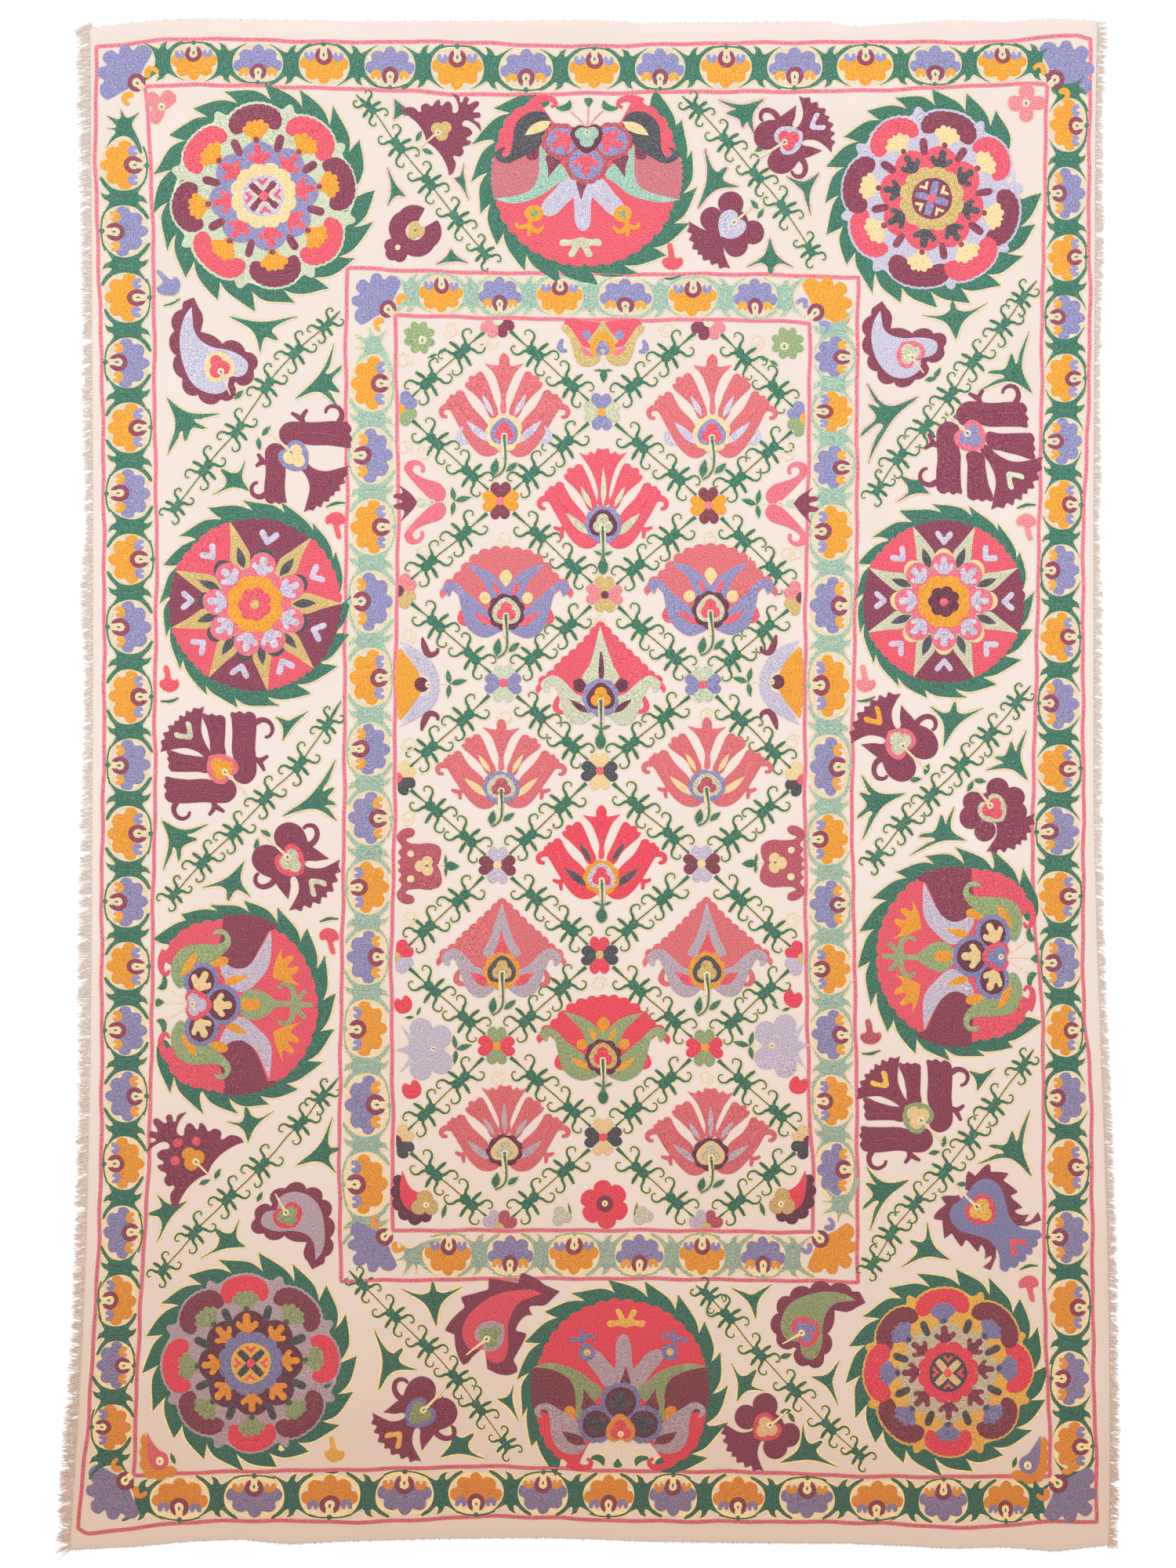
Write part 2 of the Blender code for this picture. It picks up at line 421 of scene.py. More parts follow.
# What a colour is multiplied by at the foot of the cloth, in the halos, the other silks, the cotton:
# painted shade of the light falling off towards the foot, together with the cloth's yellowing.
FOOT_SHADE_AND_AGE_HALO, FOOT_SHADE_AND_AGE_SILK, FOOT_SHADE_AND_AGE_COTTON = (0.94, 0.78, 0.52), (0.64, 0.43, 0.35), (0.78, 0.66, 0.56)
SHADE_AND_STAIN_WANDER = 0.3       # m by which the levels of this painted shade and yellowing wander up and down
SILK_IOR = 1.54
LOOP_FINENESS = 720.0    # of the noise whose grains are as coarse as one loop of the stitch
ROW_SHARE = -0.045       # how much the rows add to that noise
# The painted shade between two loops and a slight painted highlight, as (place on that noise, lighter
# or darker by), and above them the bright flecks: painted glints of the sheen with a share of the cotton's
# colour.
LOOP_SHADE_AND_HIGHLIGHT = [(0.33, -0.62), (0.46, -0.10), (0.54, 0.08)]
GLINT_FLECK_FROM, GLINT_FLECK_COTTON_SHARE, GLINT_FLECK_GAIN, GLINT_FLECK_COTTON = 0.67, 0.16, 1.7, "FBEDE4"


def linear(hex_colour):
    """An sRGB hex value as linear red, green and blue, with alpha."""
    parts = [int(hex_colour[i:i + 2], 16) / 255 for i in (0, 2, 4)]
    return [c / 12.92 if c < 0.04045 else ((c + 0.055) / 1.055) ** 2.4 for c in parts] + [1.0]


def tint(colour, by):
    """A linear colour made lighter or darker."""
    return [min(1.0, c * by) for c in colour[:3]] + [1.0]


def node(tree, kind, links=(), **settings):
    """Adds a node, sets its sockets and properties, and links others into it: (socket, node, output)."""
    made = tree.nodes.new(kind)
    for name, value in settings.items():
        if name.startswith("in_"):
            key = name[3:]
            made.inputs[int(key) if key.isdigit() else key.replace("_", " ")].default_value = value
        else:
            setattr(made, name, value)
    for socket, source, output in links:
        tree.links.new(source.outputs[output], made.inputs[socket])
    return made


def new_material(name):
    """An empty material and its node tree."""
    material = bpy.data.materials.new(name)
    material.use_nodes = True
    tree = material.node_tree
    tree.nodes.clear()
    return material, tree


def shaded_and_aged(tree, place, colour, output, start, reach, bend, worst):
    """The colour, darkened from start metres up the cloth over a reach of so many metres down it, at the
    end of which it is multiplied by worst: painted shade of the light falling off towards the foot,
    together with the cloth's yellowing. A high bend keeps the upper part unchanged for longer."""
    split = node(tree, "ShaderNodeSeparateXYZ", [("Vector", place, "Object")])
    clouds = node(tree, "ShaderNodeTexNoise", [("Vector", place, "Object")], in_Scale=3.0, in_Detail=2.0)
    level = node(tree, "ShaderNodeMath", [(0, clouds, "Fac"), (2, split, "Y")], operation="MULTIPLY_ADD",
                 in_1=SHADE_AND_STAIN_WANDER)
    part = node(tree, "ShaderNodeMapRange", [("Value", level, 0)], in_From_Min=start + SHADE_AND_STAIN_WANDER / 2,
                in_From_Max=start + SHADE_AND_STAIN_WANDER / 2 - reach)
    shade_and_age = node(tree, "ShaderNodeMath", [(0, part, 0)], operation="POWER", in_1=bend)
    return node(tree, "ShaderNodeMix", [("Factor", shade_and_age, 0), (6, colour, output)], data_type="RGBA",
                blend_type="MULTIPLY", in_7=(*worst, 1))


def silk(name):
    """Floss silk in chain stitch: rows along the outline, painted shade and a painted glint of sheen for each
    loop, a soft sheen.
    """
    colour = linear(THREADS[name])
    material, tree = new_material("silk_" + name)
    place = node(tree, "ShaderNodeTexCoord")
    depth = node(tree, "ShaderNodeAttribute", attribute_name="depth_mm")
    jitter = node(tree, "ShaderNodeTexNoise", [("Vector", place, "Object")], in_Scale=120.0, in_Detail=1.0)
    shaken = node(tree, "ShaderNodeMath", [(0, jitter, "Fac"), (2, depth, "Fac")], operation="MULTIPLY_ADD",
                  in_1=1.6)
    turn = node(tree, "ShaderNodeMath", [(0, shaken, 0)], operation="MULTIPLY", in_1=2 * math.pi / ROW)
    rows = node(tree, "ShaderNodeMath", [(0, turn, 0)], operation="COSINE")
    loops = node(tree, "ShaderNodeTexNoise", [("Vector", place, "Object")], in_Scale=LOOP_FINENESS,
                 in_Detail=2.0, in_Roughness=0.7)
    both = node(tree, "ShaderNodeMath", [(0, rows, 0), (2, loops, "Fac")], operation="MULTIPLY_ADD",
                in_1=ROW_SHARE)
    # The ramp paints shade between the loops and glints of the sheen into the silk's colour.
    ramp = node(tree, "ShaderNodeValToRGB", [("Fac", both, 0)])
    stops, contrast = ramp.color_ramp.elements, CALM.get(name, 1.0)
    share = GLINT_FLECK_COTTON_SHARE * contrast
    glint_fleck = [min(1, c * GLINT_FLECK_GAIN) * (1 - share) + share * pale for c, pale in zip(colour, linear(GLINT_FLECK_COTTON))]
    painted_loop_shading = [(at, tint(colour, 1 + by * contrast)) for at, by in LOOP_SHADE_AND_HIGHLIGHT] + [(GLINT_FLECK_FROM, glint_fleck)]
    for n, (at, shade) in enumerate(painted_loop_shading):
        stop = stops[n] if n < 2 else stops.new(at)
        stop.position, stop.color = at, shade
    # Painted shade towards the foot of the cloth, together with yellowing.
    worst = FOOT_SHADE_AND_AGE_HALO if name in HALO_THREADS else FOOT_SHADE_AND_AGE_SILK
    shade = shaded_and_aged(tree, place, ramp, "Color", start=0.5, reach=1.5, bend=1.2, worst=worst)
    relief = node(tree, "ShaderNodeBump", [("Height", both, 0)], in_Strength=0.4, in_Distance=0.0008)
    shader = node(tree, "ShaderNodeBsdfPrincipled", [("Base Color", shade, 2), ("Normal", relief, 0)],
                  in_Roughness=0.62, in_IOR=SILK_IOR, in_Sheen_Weight=0.15, in_Sheen_Roughness=0.5)
    node(tree, "ShaderNodeOutputMaterial", [("Surface", shader, 0)])
    return material


print(len(THREADS), "silks")

# %% From laid thread to pieces
def add(name, data):
    """Puts an object with this mesh, lamp or camera into the scene."""
    made = bpy.data.objects.new(name, data)
    bpy.context.scene.collection.objects.link(made)
    return made


def embroider(thread):
    """Joins all that was laid in one thread into one mesh on the cloth."""
    lots = WORK[thread]
    verts = np.concatenate([lot[0] for lot in lots])
    height = np.concatenate([lot[1] for lot in lots])
    depth = np.concatenate([lot[2] for lot in lots])
    starts = np.cumsum([0] + [len(lot[0]) for lot in lots[:-1]])
    faces = np.concatenate([lot[3] + start for lot, start in zip(lots, starts)])
    x, y = verts.real, verts.imag
    z = lift(x, y) + CLOTH_THICKNESS + height
    mesh = bpy.data.meshes.new("silk_" + thread)
    mesh.vertices.add(len(verts))
    mesh.vertices.foreach_set("co", (np.stack([x, y, z], 1) * MM).ravel())
    mesh.loops.add(faces.size)
    mesh.loops.foreach_set("vertex_index", faces.ravel())
    mesh.polygons.add(len(faces))
    mesh.polygons.foreach_set("loop_start", np.arange(0, faces.size, 3))
    mesh.attributes.new("depth_mm", "FLOAT", "POINT").data.foreach_set("value", depth)
    mesh.update(calc_edges=True)
    mesh.validate()
    mesh.shade_smooth()
    mesh.materials.append(silk(thread))
    piece = add(mesh.name, mesh)
    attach(piece, "root")
    return piece, len(faces)


# %% [markdown]
# ## The pink lines that part the borders
#
# Two rows of chain stitch, side by side, run round each border. They follow the cloth and not a ruler:
# each side bows a little, so each is a smooth curve through a few measured places.

# %% Border lines
LINE_WIDTH = 5.4
# Each frame: its top, right, bottom and left sides, as points (x, y) that the line runs through.
FRAMES = {
    "outer": [
        [(-690, 1035), (-565, 1046), (-365, 1042), (-200, 1042), (-25, 1036), (175, 1040), (420, 1042),
         (575, 1042), (682, 1052), (704, 1045)],
        [(704, 1045), (701, 795), (703, 684), (699, 477), (694, 385), (693, 125), (694, -22), (694, -318),
         (703, -400), (705, -520), (708, -830), (712, -968), (712, -1034)],
        [(712, -1034), (632, -1034), (538, -1042), (390, -1035), (50, -1032), (-135, -1026), (-310, -1034),
         (-460, -1032), (-585, -1036), (-700, -1050), (-716, -1042)],
        [(-716, -1042), (-714, -1010), (-702, -895), (-695, -780), (-688, -660), (-684, -520), (-683, -375),
         (-683, -110), (-680, 37), (-680, 315), (-682, 535), (-686, 683), (-692, 880), (-690, 1035)],
    ],
    "middle": [
        [(-622, 979), (-550, 982), (-370, 977), (-270, 974), (-155, 968), (130, 972), (300, 972), (425, 975),
         (575, 982), (642, 983)],
        [(642, 983), (639, 793), (636, 683), (635, 536), (630, 270), (627, 125), (623, -22), (624, -170),
         (636, -320), (638, -520), (640, -760), (645, -857), (647, -970)],
        [(647, -970), (390, -970), (230, -964), (34, -962), (-138, -956), (-298, -960), (-525, -964),
         (-638, -969)],
        [(-638, -969), (-634, -838), (-625, -659), (-618, -550), (-613, -344), (-611, -140), (-608, -22),
         (-609, 96), (-606, 330), (-609, 506), (-610, 683), (-614, 860), (-622, 979)],
    ],
    "inner": [
        [(-339, 725), (-180, 719), (32, 716), (220, 716), (378, 711)],
        [(378, 711), (376, 551), (376, 342), (373, 220), (369, -43), (372, -197), (373, -278), (376, -460),
         (377, -697)],
        [(377, -697), (100, -693), (-108, -693), (-347, -696)],
        [(-347, -696), (-350, -542), (-347, -302), (-343, -38), (-342, 220), (-339, 398), (-341, 580),
         (-339, 725)],
    ],
    "field": [
        [(-271, 659), (-181, 656), (32, 652), (206, 652), (310, 648)],
        [(310, 648), (309, 506), (308, 440), (304, 245), (303, 11), (304, -131), (305, -253), (308, -395),
         (309, -460), (314, -517), (314, -628)],
        [(314, -628), (100, -625), (-110, -625), (-276, -625)],
        [(-276, -625), (-275, -518), (-275, -460), (-277, -290), (-277, -229), (-274, -131), (-272, -38),
         (-272, 110), (-270, 220), (-267, 397), (-270, 555), (-271, 659)],
    ],
}

for sides in FRAMES.values():
    path = np.concatenate([smooth(side, closed=False)[:-1] for side in sides])
    line("pink_line", path, LINE_WIDTH, 1, closed=True)
print(len(WORK["pink_line"]), "frames of pink line")

# %% [markdown]
# ## The running borders
#
# A vine weaves along each border and leaves an oval eye at every bend. In each eye sits a fan of five
# lobes, gold or blue, with a plum crescent at its root. The stem passes on the crescent's side, and
# changes sides at each joint, where four short horns fill the corners. So one function makes an eye,
# another a joint, and a loop walks along each side, turning the eye over each time.

# %% One eye and one joint
PITCH = 92.0        # mm from one eye to the next where nothing is stretched
BAND = 65.0         # mm between the two pink lines of such a border
FIVE_LOBES = [
    (-9, 0), (-24, 1), (-31, 3), (-34.5, 9), (-32, 16), (-26, 19), (-26, 27), (-20, 32), (-12, 31), (-9, 30),
    (-6, 36), (1, 39), (7, 35), (9, 30), (14, 33), (22, 31), (26, 26), (26, 18), (32, 16), (34.5, 9), (31, 2),
    (24, 1), (9, 0),
]


def horseshoe(at, thread, size=12.0, layer=3):
    """A crescent that opens along -y, with a cream eye and a green pupil."""
    fill(thread, at(np.concatenate([circle(size, -66, 246), circle(size / 2, 228, -48)])), layer)
    eye_white = smooth(both_sides([(-.26, -1.02), (-.50, -.35), (-.45, .28), (0, .52)]))
    fill("cream_outline", at(size * eye_white), layer - 1)
    pupil(at, size * 0.25, layer, size * -0.1)


def pupil(at, size, layer, y=0.0):
    """A small green lozenge; y moves it along its own way."""
    patch(at, "green", [(-.6 * size, y), (0, y + size, 1), (.6 * size, y), (0, y - 1.3 * size, 1)], layer)


def eye(at, fan, tick, vine):
    """One eye: +y is the fan's way, and the stem passes on the other side."""
    line("cream_outline", Place(tall=0.68, on=at)(circle(36)), 6, 0, closed=True)
    root = Place(0, -12, on=at)
    patch(root, fan, FIVE_LOBES, 1)
    horseshoe(root, "plum")
    for half in halves(root):
        patch(half, tick, WING, 2)
    stem = smooth(both_sides([(-26, -24), (-14, -27.5), (0, -28.5)]), closed=False)
    line(vine, at(stem), [3, 2.4, 2.4, 2.4, 3], 1, halo=1.4)
    patch(at, vine, [(-4, -28), (0, -24, 1), (4, -28), (0, -32, 1)], 1)


# Two round lobes that hug the crescent, with the notch between them on the stem's side.
WING = [(13.5, -3), (13, 3), (17, 6.5), (23, 6), (27, 1), (26.5, -5), (23, -5.5), (21, -.5), (19, -.5),
        (17.5, -5.5)]
# Half a joint: a long arm along the fan, the waist, the arm that becomes the stem, a spur and a short arm.
HALF_JOINT = [(31, 28, 1), (20.5, 21), (13.5, 12), (10.5, 0), (13, -12), (20, -20), (30, -27), (29, -29.5),
              (18, -25), (9, -18), (5.5, -17), (5, -22), (8, -28, 1), (-1, -24), (-6, -17), (-12, -19),
              (-22, -24.5)]


def joint(at, vine):
    """The joint between two eyes: its second half is its first, turned half round."""
    patch(at, vine, HALF_JOINT + [(-p[0], -p[1], *p[2:]) for p in HALF_JOINT], 1, halo=2.2)


def crown(at, vine):
    """The end of a border's vine: two arms about the last eye, of which one is its stem, and four spikes."""
    body = [(25, -38), (22, -22), (16, -8), (11, 2), (12, 9), (20, 21, 1), (6, 13), (1, 14), (-6, 26, 1),
            (-6, 12), (-11, 10), (-27, 15, 1), (-15, 4), (-12, -1), (-27, -3, 1), (-13, -7), (-19, -16),
            (-27, -31, 1), (-18, -21), (-6, -14), (6, -14), (14, -22), (22, -38)]
    patch(at, vine, body, 1, halo=2.2)


def corner_fan(at, fan, tick):
    """The large fan in a corner: +y is the corner's way, and its horseshoe opens towards the cloth."""
    half = [(46, 14, 1), (46, 26), (38, 34), (29, 35), (31, 45), (24, 52), (15, 49), (11, 47), (9, 57)]
    patch(at, fan, both_sides([(9, 2), (24, 7), (36, 10)] + half + [(0, 61)]), 1)
    horseshoe(at, "plum", 13.0)
    for half in halves(at):
        wing = Place(24, -3, -20, on=half)
        patch(wing, tick, [(-8, -6), (-7, 2), (0, 7), (8, 4), (12, -5), (8, -8), (3, -1), (-3, -8)], 2)


# %% The loop along a side
TOP, RIGHT, BOTTOM, LEFT = range(4)


def edge_at(frame, side, stop):
    """Where a pink line runs at a stop: the line's y for the top or bottom, its x for a long side."""
    points = np.array(FRAMES[frame][side], float)
    along, cross = (0, 1) if side in (TOP, BOTTOM) else (1, 0)
    order = np.argsort(points[:, along])
    return np.interp(stop, points[order, along], points[order, cross])


def walk(outer, inner, side, stops, first_fan_out, skip_at, vine, bare):
    """Puts an eye at every stop between two pink lines, and a joint on either side of each eye, but
    for the end named bare."""
    out, into = edge_at(outer, side, stops), edge_at(inner, side, stops)
    middle, band = (out + into) / 2, abs(out - into)
    spots = np.array(stops) + 1j * middle if side in (TOP, BOTTOM) else middle + 1j * np.array(stops)
    gaps = np.diff(spots)
    joints = np.concatenate([[spots[0] - gaps[0] / 2], spots[:-1] + gaps / 2, [spots[-1] + gaps[-1] / 2]])
    for n in range(len(spots)):
        long = abs(joints[n + 1] - joints[n]) / PITCH
        fan_out = (n % 2 == 0) == first_fan_out
        gold = (n + (n >= skip_at)) % 2 == 0
        spot = (joints[n] + joints[n + 1]) / 2
        at = Place(spot.real, spot.imag, -90 * side + (0 if fan_out else 180), wide=long, tall=band[n] / BAND)
        eye(at, "gold" if gold else "indigo_pale", "indigo_pale" if gold else "gold", vine)
    left_out = {"first": 0, "last": len(spots)}.get(bare)
    for n, spot in enumerate(joints):
        if n != left_out:
            tall, mirror = band[min(n, len(band) - 1)] / BAND, (n % 2 == 0) != first_fan_out
            joint(Place(spot.real, spot.imag, -90 * side, mirror=mirror, tall=tall), vine)


# Border: outer line, inner line, side, whether the first fan points outwards, the stop where the two
# colours skip a turn, thread, the end that a crown takes, and the stops, from the left or from the head.
NO_SKIP = 99
RUNNING_BORDERS = [
    ("outer", "middle", TOP, False, NO_SKIP, "green", None,
     [-554, -466, -370, -280, -185, -88, 9, 100, 191, 288, 388, 488, 580]),
    ("outer", "middle", RIGHT, False, NO_SKIP, "green", None,
     [925, 828, 737, 657, 572, 480, 396, 300, 209, 112, 22, -64, -156, -250, -345, -437, -536, -636, -729,
      -837, -928]),
    ("outer", "middle", BOTTOM, False, NO_SKIP, "green", None,
     [-574, -470, -363, -257, -156, -64, 28, 119, 206, 307, 405, 500, 585]),
    ("outer", "middle", LEFT, True, 14, "green", "first",
     [869, 777, 682, 593, 500, 410, 315, 225, 120, 30, -69, -166, -254, -344, -436, -531, -627, -726, -815,
      -901]),
    ("inner", "field", TOP, False, NO_SKIP, "teal_vine", None, [-207, -123, -46, 51, 149, 233]),
    ("inner", "field", RIGHT, False, 0, "teal_vine", "last",
     [600, 524, 448, 360, 251, 144, 18, -78, -168, -257, -352, -441, -540]),
    ("inner", "field", BOTTOM, True, NO_SKIP, "teal_vine", "first", [-197, -111, -22, 73, 160, 244]),
    ("inner", "field", LEFT, True, 6, "teal_vine", "first",
     [563, 462, 362, 260, 146, 50, -46, -144, -241, -340, -448, -560]),
]
for outer, inner, side, fan_out, skip_at, vine, bare, stops in RUNNING_BORDERS:
    walk(outer, inner, side, stops, fan_out, skip_at, vine, bare)

# Each crown: x, y, turn, whether it is mirrored, thread.
for x, y, turn, mirror, vine in ((-651, 923, 0, False, "green"), (-302, 617, 0, False, "teal_vine"),
                                 (354, -588, 180, True, "teal_vine"), (-246, -661, 90, False, "teal_vine")):
    crown(Place(x, y, turn, mirror=mirror), vine)

# Each corner fan: the place of its root, the corner's way in degrees, size, fan, ticks.
CORNER_FANS = [
    (-634, 985, 137, 1.0, "indigo_pale", "gold"), (654, 990, 44, 1.0, "indigo_pale", "gold"),
    (-650, -977, 222, 1.0, "indigo_pale", "gold"), (658, -981, -42, 1.0, "indigo_pale", "gold"),
    (-282, 667, 137, 0.92, "indigo_pale", "gold"), (319, 663, 44, 0.92, "gold", "indigo_pale"),
    (-287, -634, 222, 0.92, "indigo_pale", "gold"), (325, -637, -42, 0.92, "gold", "indigo_pale"),
]
for x, y, way, size, fan, tick in CORNER_FANS:
    corner_fan(Place(x, y, way - 90, size), fan, tick)
print({thread: len(lots) for thread, lots in WORK.items()})

# %% [markdown]
# ## What the medallions share
#
# Ten large medallions stand in the wide border, each in a wreath of green leaves that all sweep the same
# way round. Four are rosettes, two are stars and four are palmettes. Their small shapes are the same few
# words of this craft said in other colours: three-pronged trefoils, scalloped discs, almond leaves. Each
# gets one function, which fills its shape in the place and thread it is given.

# %% Wreath, trefoil, leaf and petal
def around(rows):
    """(radius, degrees) rows as (x, y) points, keeping the 1 that marks a corner."""
    return [(r * math.cos(math.radians(a)), r * math.sin(math.radians(a)), *rest) for r, a, *rest in rows]


def wreath(at, ring, reach, teeth, start=0.0, end=360.0, swell=lambda a: 0):
    """Leaves round a medallion, each starting under the one before, tips swept anticlockwise."""
    pitch, chance = (end - start) / teeth, random.Random(f"{ring} {start}")
    for n in range(teeth):
        a, far, sweep = start + n * pitch, reach * chance.uniform(0.9, 1.1), chance.uniform(1.15, 1.32)
        inner = ring + swell(a + pitch / 2)
        leaf = around([(inner - 9, a - 1), (inner + 0.19 * reach, a - 1),
                       (inner + 0.47 * reach, a + 0.16 * pitch), (inner + 0.7 * reach, a + 0.5 * pitch),
                       (inner + far, a + sweep * pitch, 1), (inner + 0.56 * reach, a + 1.1 * pitch),
                       (inner + 0.25 * reach, a + pitch, 1), (inner - 9, a + pitch + 1),
                       (inner - 9, a + 0.5 * pitch)])
        patch(at, "green", leaf, 1, halo=2.8)


def trefoil(at, thread, layer=3, size=1.0):
    """Three prongs that spread along +y from their root at zero; 28 mm wide at size 1."""
    half = [(0, -3), (5, -3), (9, 1), (15, 6), (16, 11), (12, 14), (7, 10), (5, 13), (5.5, 20), (3, 24),
            (0, 25)]
    fill(thread, at(size * smooth(both_sides(half))), layer)


def almond(at, thread, length, width, layer=3, halo=0.0):
    """A leaf with a point at either end, along +y from zero."""
    half = width / 2
    shape = [(0, 0, 1), (half * .9, length * .35), (half * .7, length * .7), (0, length, 1)]
    patch(at, thread, both_sides(shape), layer, halo)


def petal(at, thread, length, width, layer=3, waist=0.55, halo=0.0):
    """A round-ended petal along +y; waist is the width of its root as a share of the whole."""
    half = width / 2
    shape = [(half * waist, 0), (half * .95, length * .55), (half * .8, length * .87), (0, length)]
    patch(at, thread, both_sides(shape), layer, halo)


def disc(at, thread, radius, layer=3, bumps=0, depth=2.0, halo=0.0):
    """A plain disc, or one with so many bumps of so many mm."""
    edge = circle(radius)
    fill(thread, at(scalloped(edge, bumps, depth) if bumps else edge), layer, halo=halo)


def clover(at, thread, radius, layer):
    """Three round leaves; the middle one points along +y."""
    edge = polar(lambda a: radius * (0.6 + 0.4 * abs(np.cos(np.radians(1.5 * (a - 90)))) ** 0.8))
    fill(thread, at(edge), layer)


def seed(at, layer, cream=4.4, green=2.2):
    """The cream and green seed at the root of a flower, with the sizes of both."""
    disc(at, "cream_outline", cream, layer)
    pupil(at, green, layer + 1)


# %% [markdown]
# ## Rosettes
#
# A rosette is built outwards from its centre: a cross on a disc, a scalloped ring, a ring of eight
# lobes with a trefoil in each, then eight mushroom-shaped flowers with a pomegranate between every two.
# A loop turns the same eight-part pattern round, with a little seeded chance in widths and angles.

# %% Rosettes
# Each rosette: x, y, size, turn, then its threads. The two of heads take turns, and each head sits on a cup.
ROSETTES = [
    dict(x=-456, y=826, size=1.0, turn=7, cross="plum", mark="cochineal_coral",
         hub="lilac", ring="pale_yellow", lobes="indigo_pale", prongs="cochineal_coral", drop="plum",
         heads=("plum", "cochineal_coral"), cup="gold", fruit="mint"),
    dict(x=481, y=822, size=0.97, turn=32, cross="indigo_pale", mark="pale_yellow",
         hub="plum", ring="khaki", lobes="cochineal_coral", prongs="charcoal", drop="plum",
         heads=("cochineal_coral", "plum"), cup="pale_yellow", fruit="lilac"),
    dict(x=-474, y=-811, size=0.96, turn=2, cross="charcoal", mark="cochineal_coral",
         hub="yellow_deep", ring="indigo", lobes="plum_dark", prongs="gold", drop="charcoal",
         heads=("cochineal_crimson", "wine"), cup="moss", fruit="lilac_grey"),
    dict(x=504, y=-824, size=0.91, turn=2, cross="pale_yellow", mark="cochineal_coral",
         hub="charcoal", ring="cochineal_crimson", lobes="sage", prongs="wine", drop="charcoal",
         heads=("cochineal_crimson", "wine"), cup="indigo", fruit="yellow_deep"),
]


def mushroom(at, thread, width):
    """A flower head: a scalloped cap over a hollow underside, with its root at zero."""
    arc = circle(30, 0, 180) / 30
    cap = scalloped(width / 2 * arc.real + 1j * (2 + 30 * arc.imag ** 0.8), 12, 1.8, False)
    under = [(-width * .49, -2), (-width * .42, -7), (-width * .3, -6), (-width * .15, 1), (0, 3)]
    under = smooth(both_sides(under), closed=False)
    outline = np.concatenate([cap, under])
    fill(thread, at(outline), 3)
    return outline


def calyx(at, thread):
    """The cup that a flower head sits on, opening along +y."""
    half = [(0, 0), (6, 1), (8, 8), (14, 12), (19, 18), (18, 24), (13, 25), (12, 30), (6, 31), (3, 29),
            (0, 33)]
    patch(at, thread, both_sides(half), 4)


def pomegranate(at, thread):
    """A round fruit with a short neck and a crown that opens to both sides."""
    half = [(14, -12), (21, 2), (23, 16), (17, 27), (10, 34), (12, 40), (24, 41), (34, 36), (27, 46),
            (10, 46), (4, 54)]
    patch(at, thread, both_sides([(0, -14)] + half + [(0, 56)]), 2)


def rosette(x, y, size, turn, cross, mark, hub, ring, lobes, prongs, drop, heads, cup, fruit):
    """A wreath, eight flower heads with fruits between them, eight lobes, then the hub and its cross."""
    at = Place(x, y, size=size)
    wreath(at, ring=122, reach=36, teeth=18, start=turn)
    chance = random.Random(f"{x} {y}")
    lobe_edge = polar(lambda a: 64 + 13 * abs(np.cos(np.radians(4 * (a - turn)))) ** 0.7)
    fill(lobes, at(lobe_edge), 4)
    disc(at, fruit, 102, 1)

    def arm(r, a):
        """A place r mm from the rosette's middle that faces outwards."""
        return Place(*around([(r, a + 90)])[0], a, on=at)

    for n in range(8):
        way = turn + 45 * n + chance.uniform(-3, 3) - 90
        pomegranate(arm(78, way + 22.5), fruit)
        outline = mushroom(arm(96, way), heads[n % 2], chance.uniform(66, 90))
        fill(fruit, arm(96, way)(widen(anticlockwise(outline), 3)), 2)
        calyx(arm(75, way), cup)
        disc(arm(79, way), drop, 4.5, 5)
        trefoil(arm(48, way), prongs, 5)
        petal(arm(65, way + 22.5), drop, 24, 12, 5, 0.6)
    disc(at, ring, 45, 5, 12, 5)
    disc(at, hub, 30, 6)
    for n in range(4):
        quarter = Place(turn=turn + 90 * n + 43, on=at)
        line(cross, quarter(1j * np.linspace(2, 25, 9)), [8, 10, 10, 8], 7)
        between = Place(turn=turn + 90 * n - 2, on=at)
        if hub == "lilac":
            hook(between, "cream_outline", [(-11, 22), (0, 9), (11, 22)], 3, 7)
        tick = [(-8, 5), (-4, 0), (0, -5, 1), (4, 0), (8, 5), (4, 6), (0, 2), (-4, 6)]
        patch(Place(0, 19, on=between), mark, tick, 7)
    disc(at, "cochineal_coral", 6.5, 8)


for row in ROSETTES:
    rosette(**row)
print("rosettes:", len(ROSETTES))

# %% [markdown]
# ## Stars
#
# Eight rays part eight sectors that take turns in plum and coral. The rays on the real stars aren't
# spaced evenly, so their angles are a list, and everything else is worked out between one and the next.

# %% Stars
STARS = [
    dict(x=-468, y=253, size=1.0, dot="khaki", flower="cochineal_coral", shadow="charcoal", ray="khaki",
         sectors=("plum", "cochineal_coral"),
         rays=[50, 107, 157, 196, 237, 278, 313, 361]),
    dict(x=498, y=257, size=0.94, dot="cochineal_coral", flower="plum_dark", shadow="pale_yellow",
         ray="sage", sectors=("cochineal_coral", "plum"),
         rays=[24, 68, 112, 156, 202, 248, 292, 337]),
]


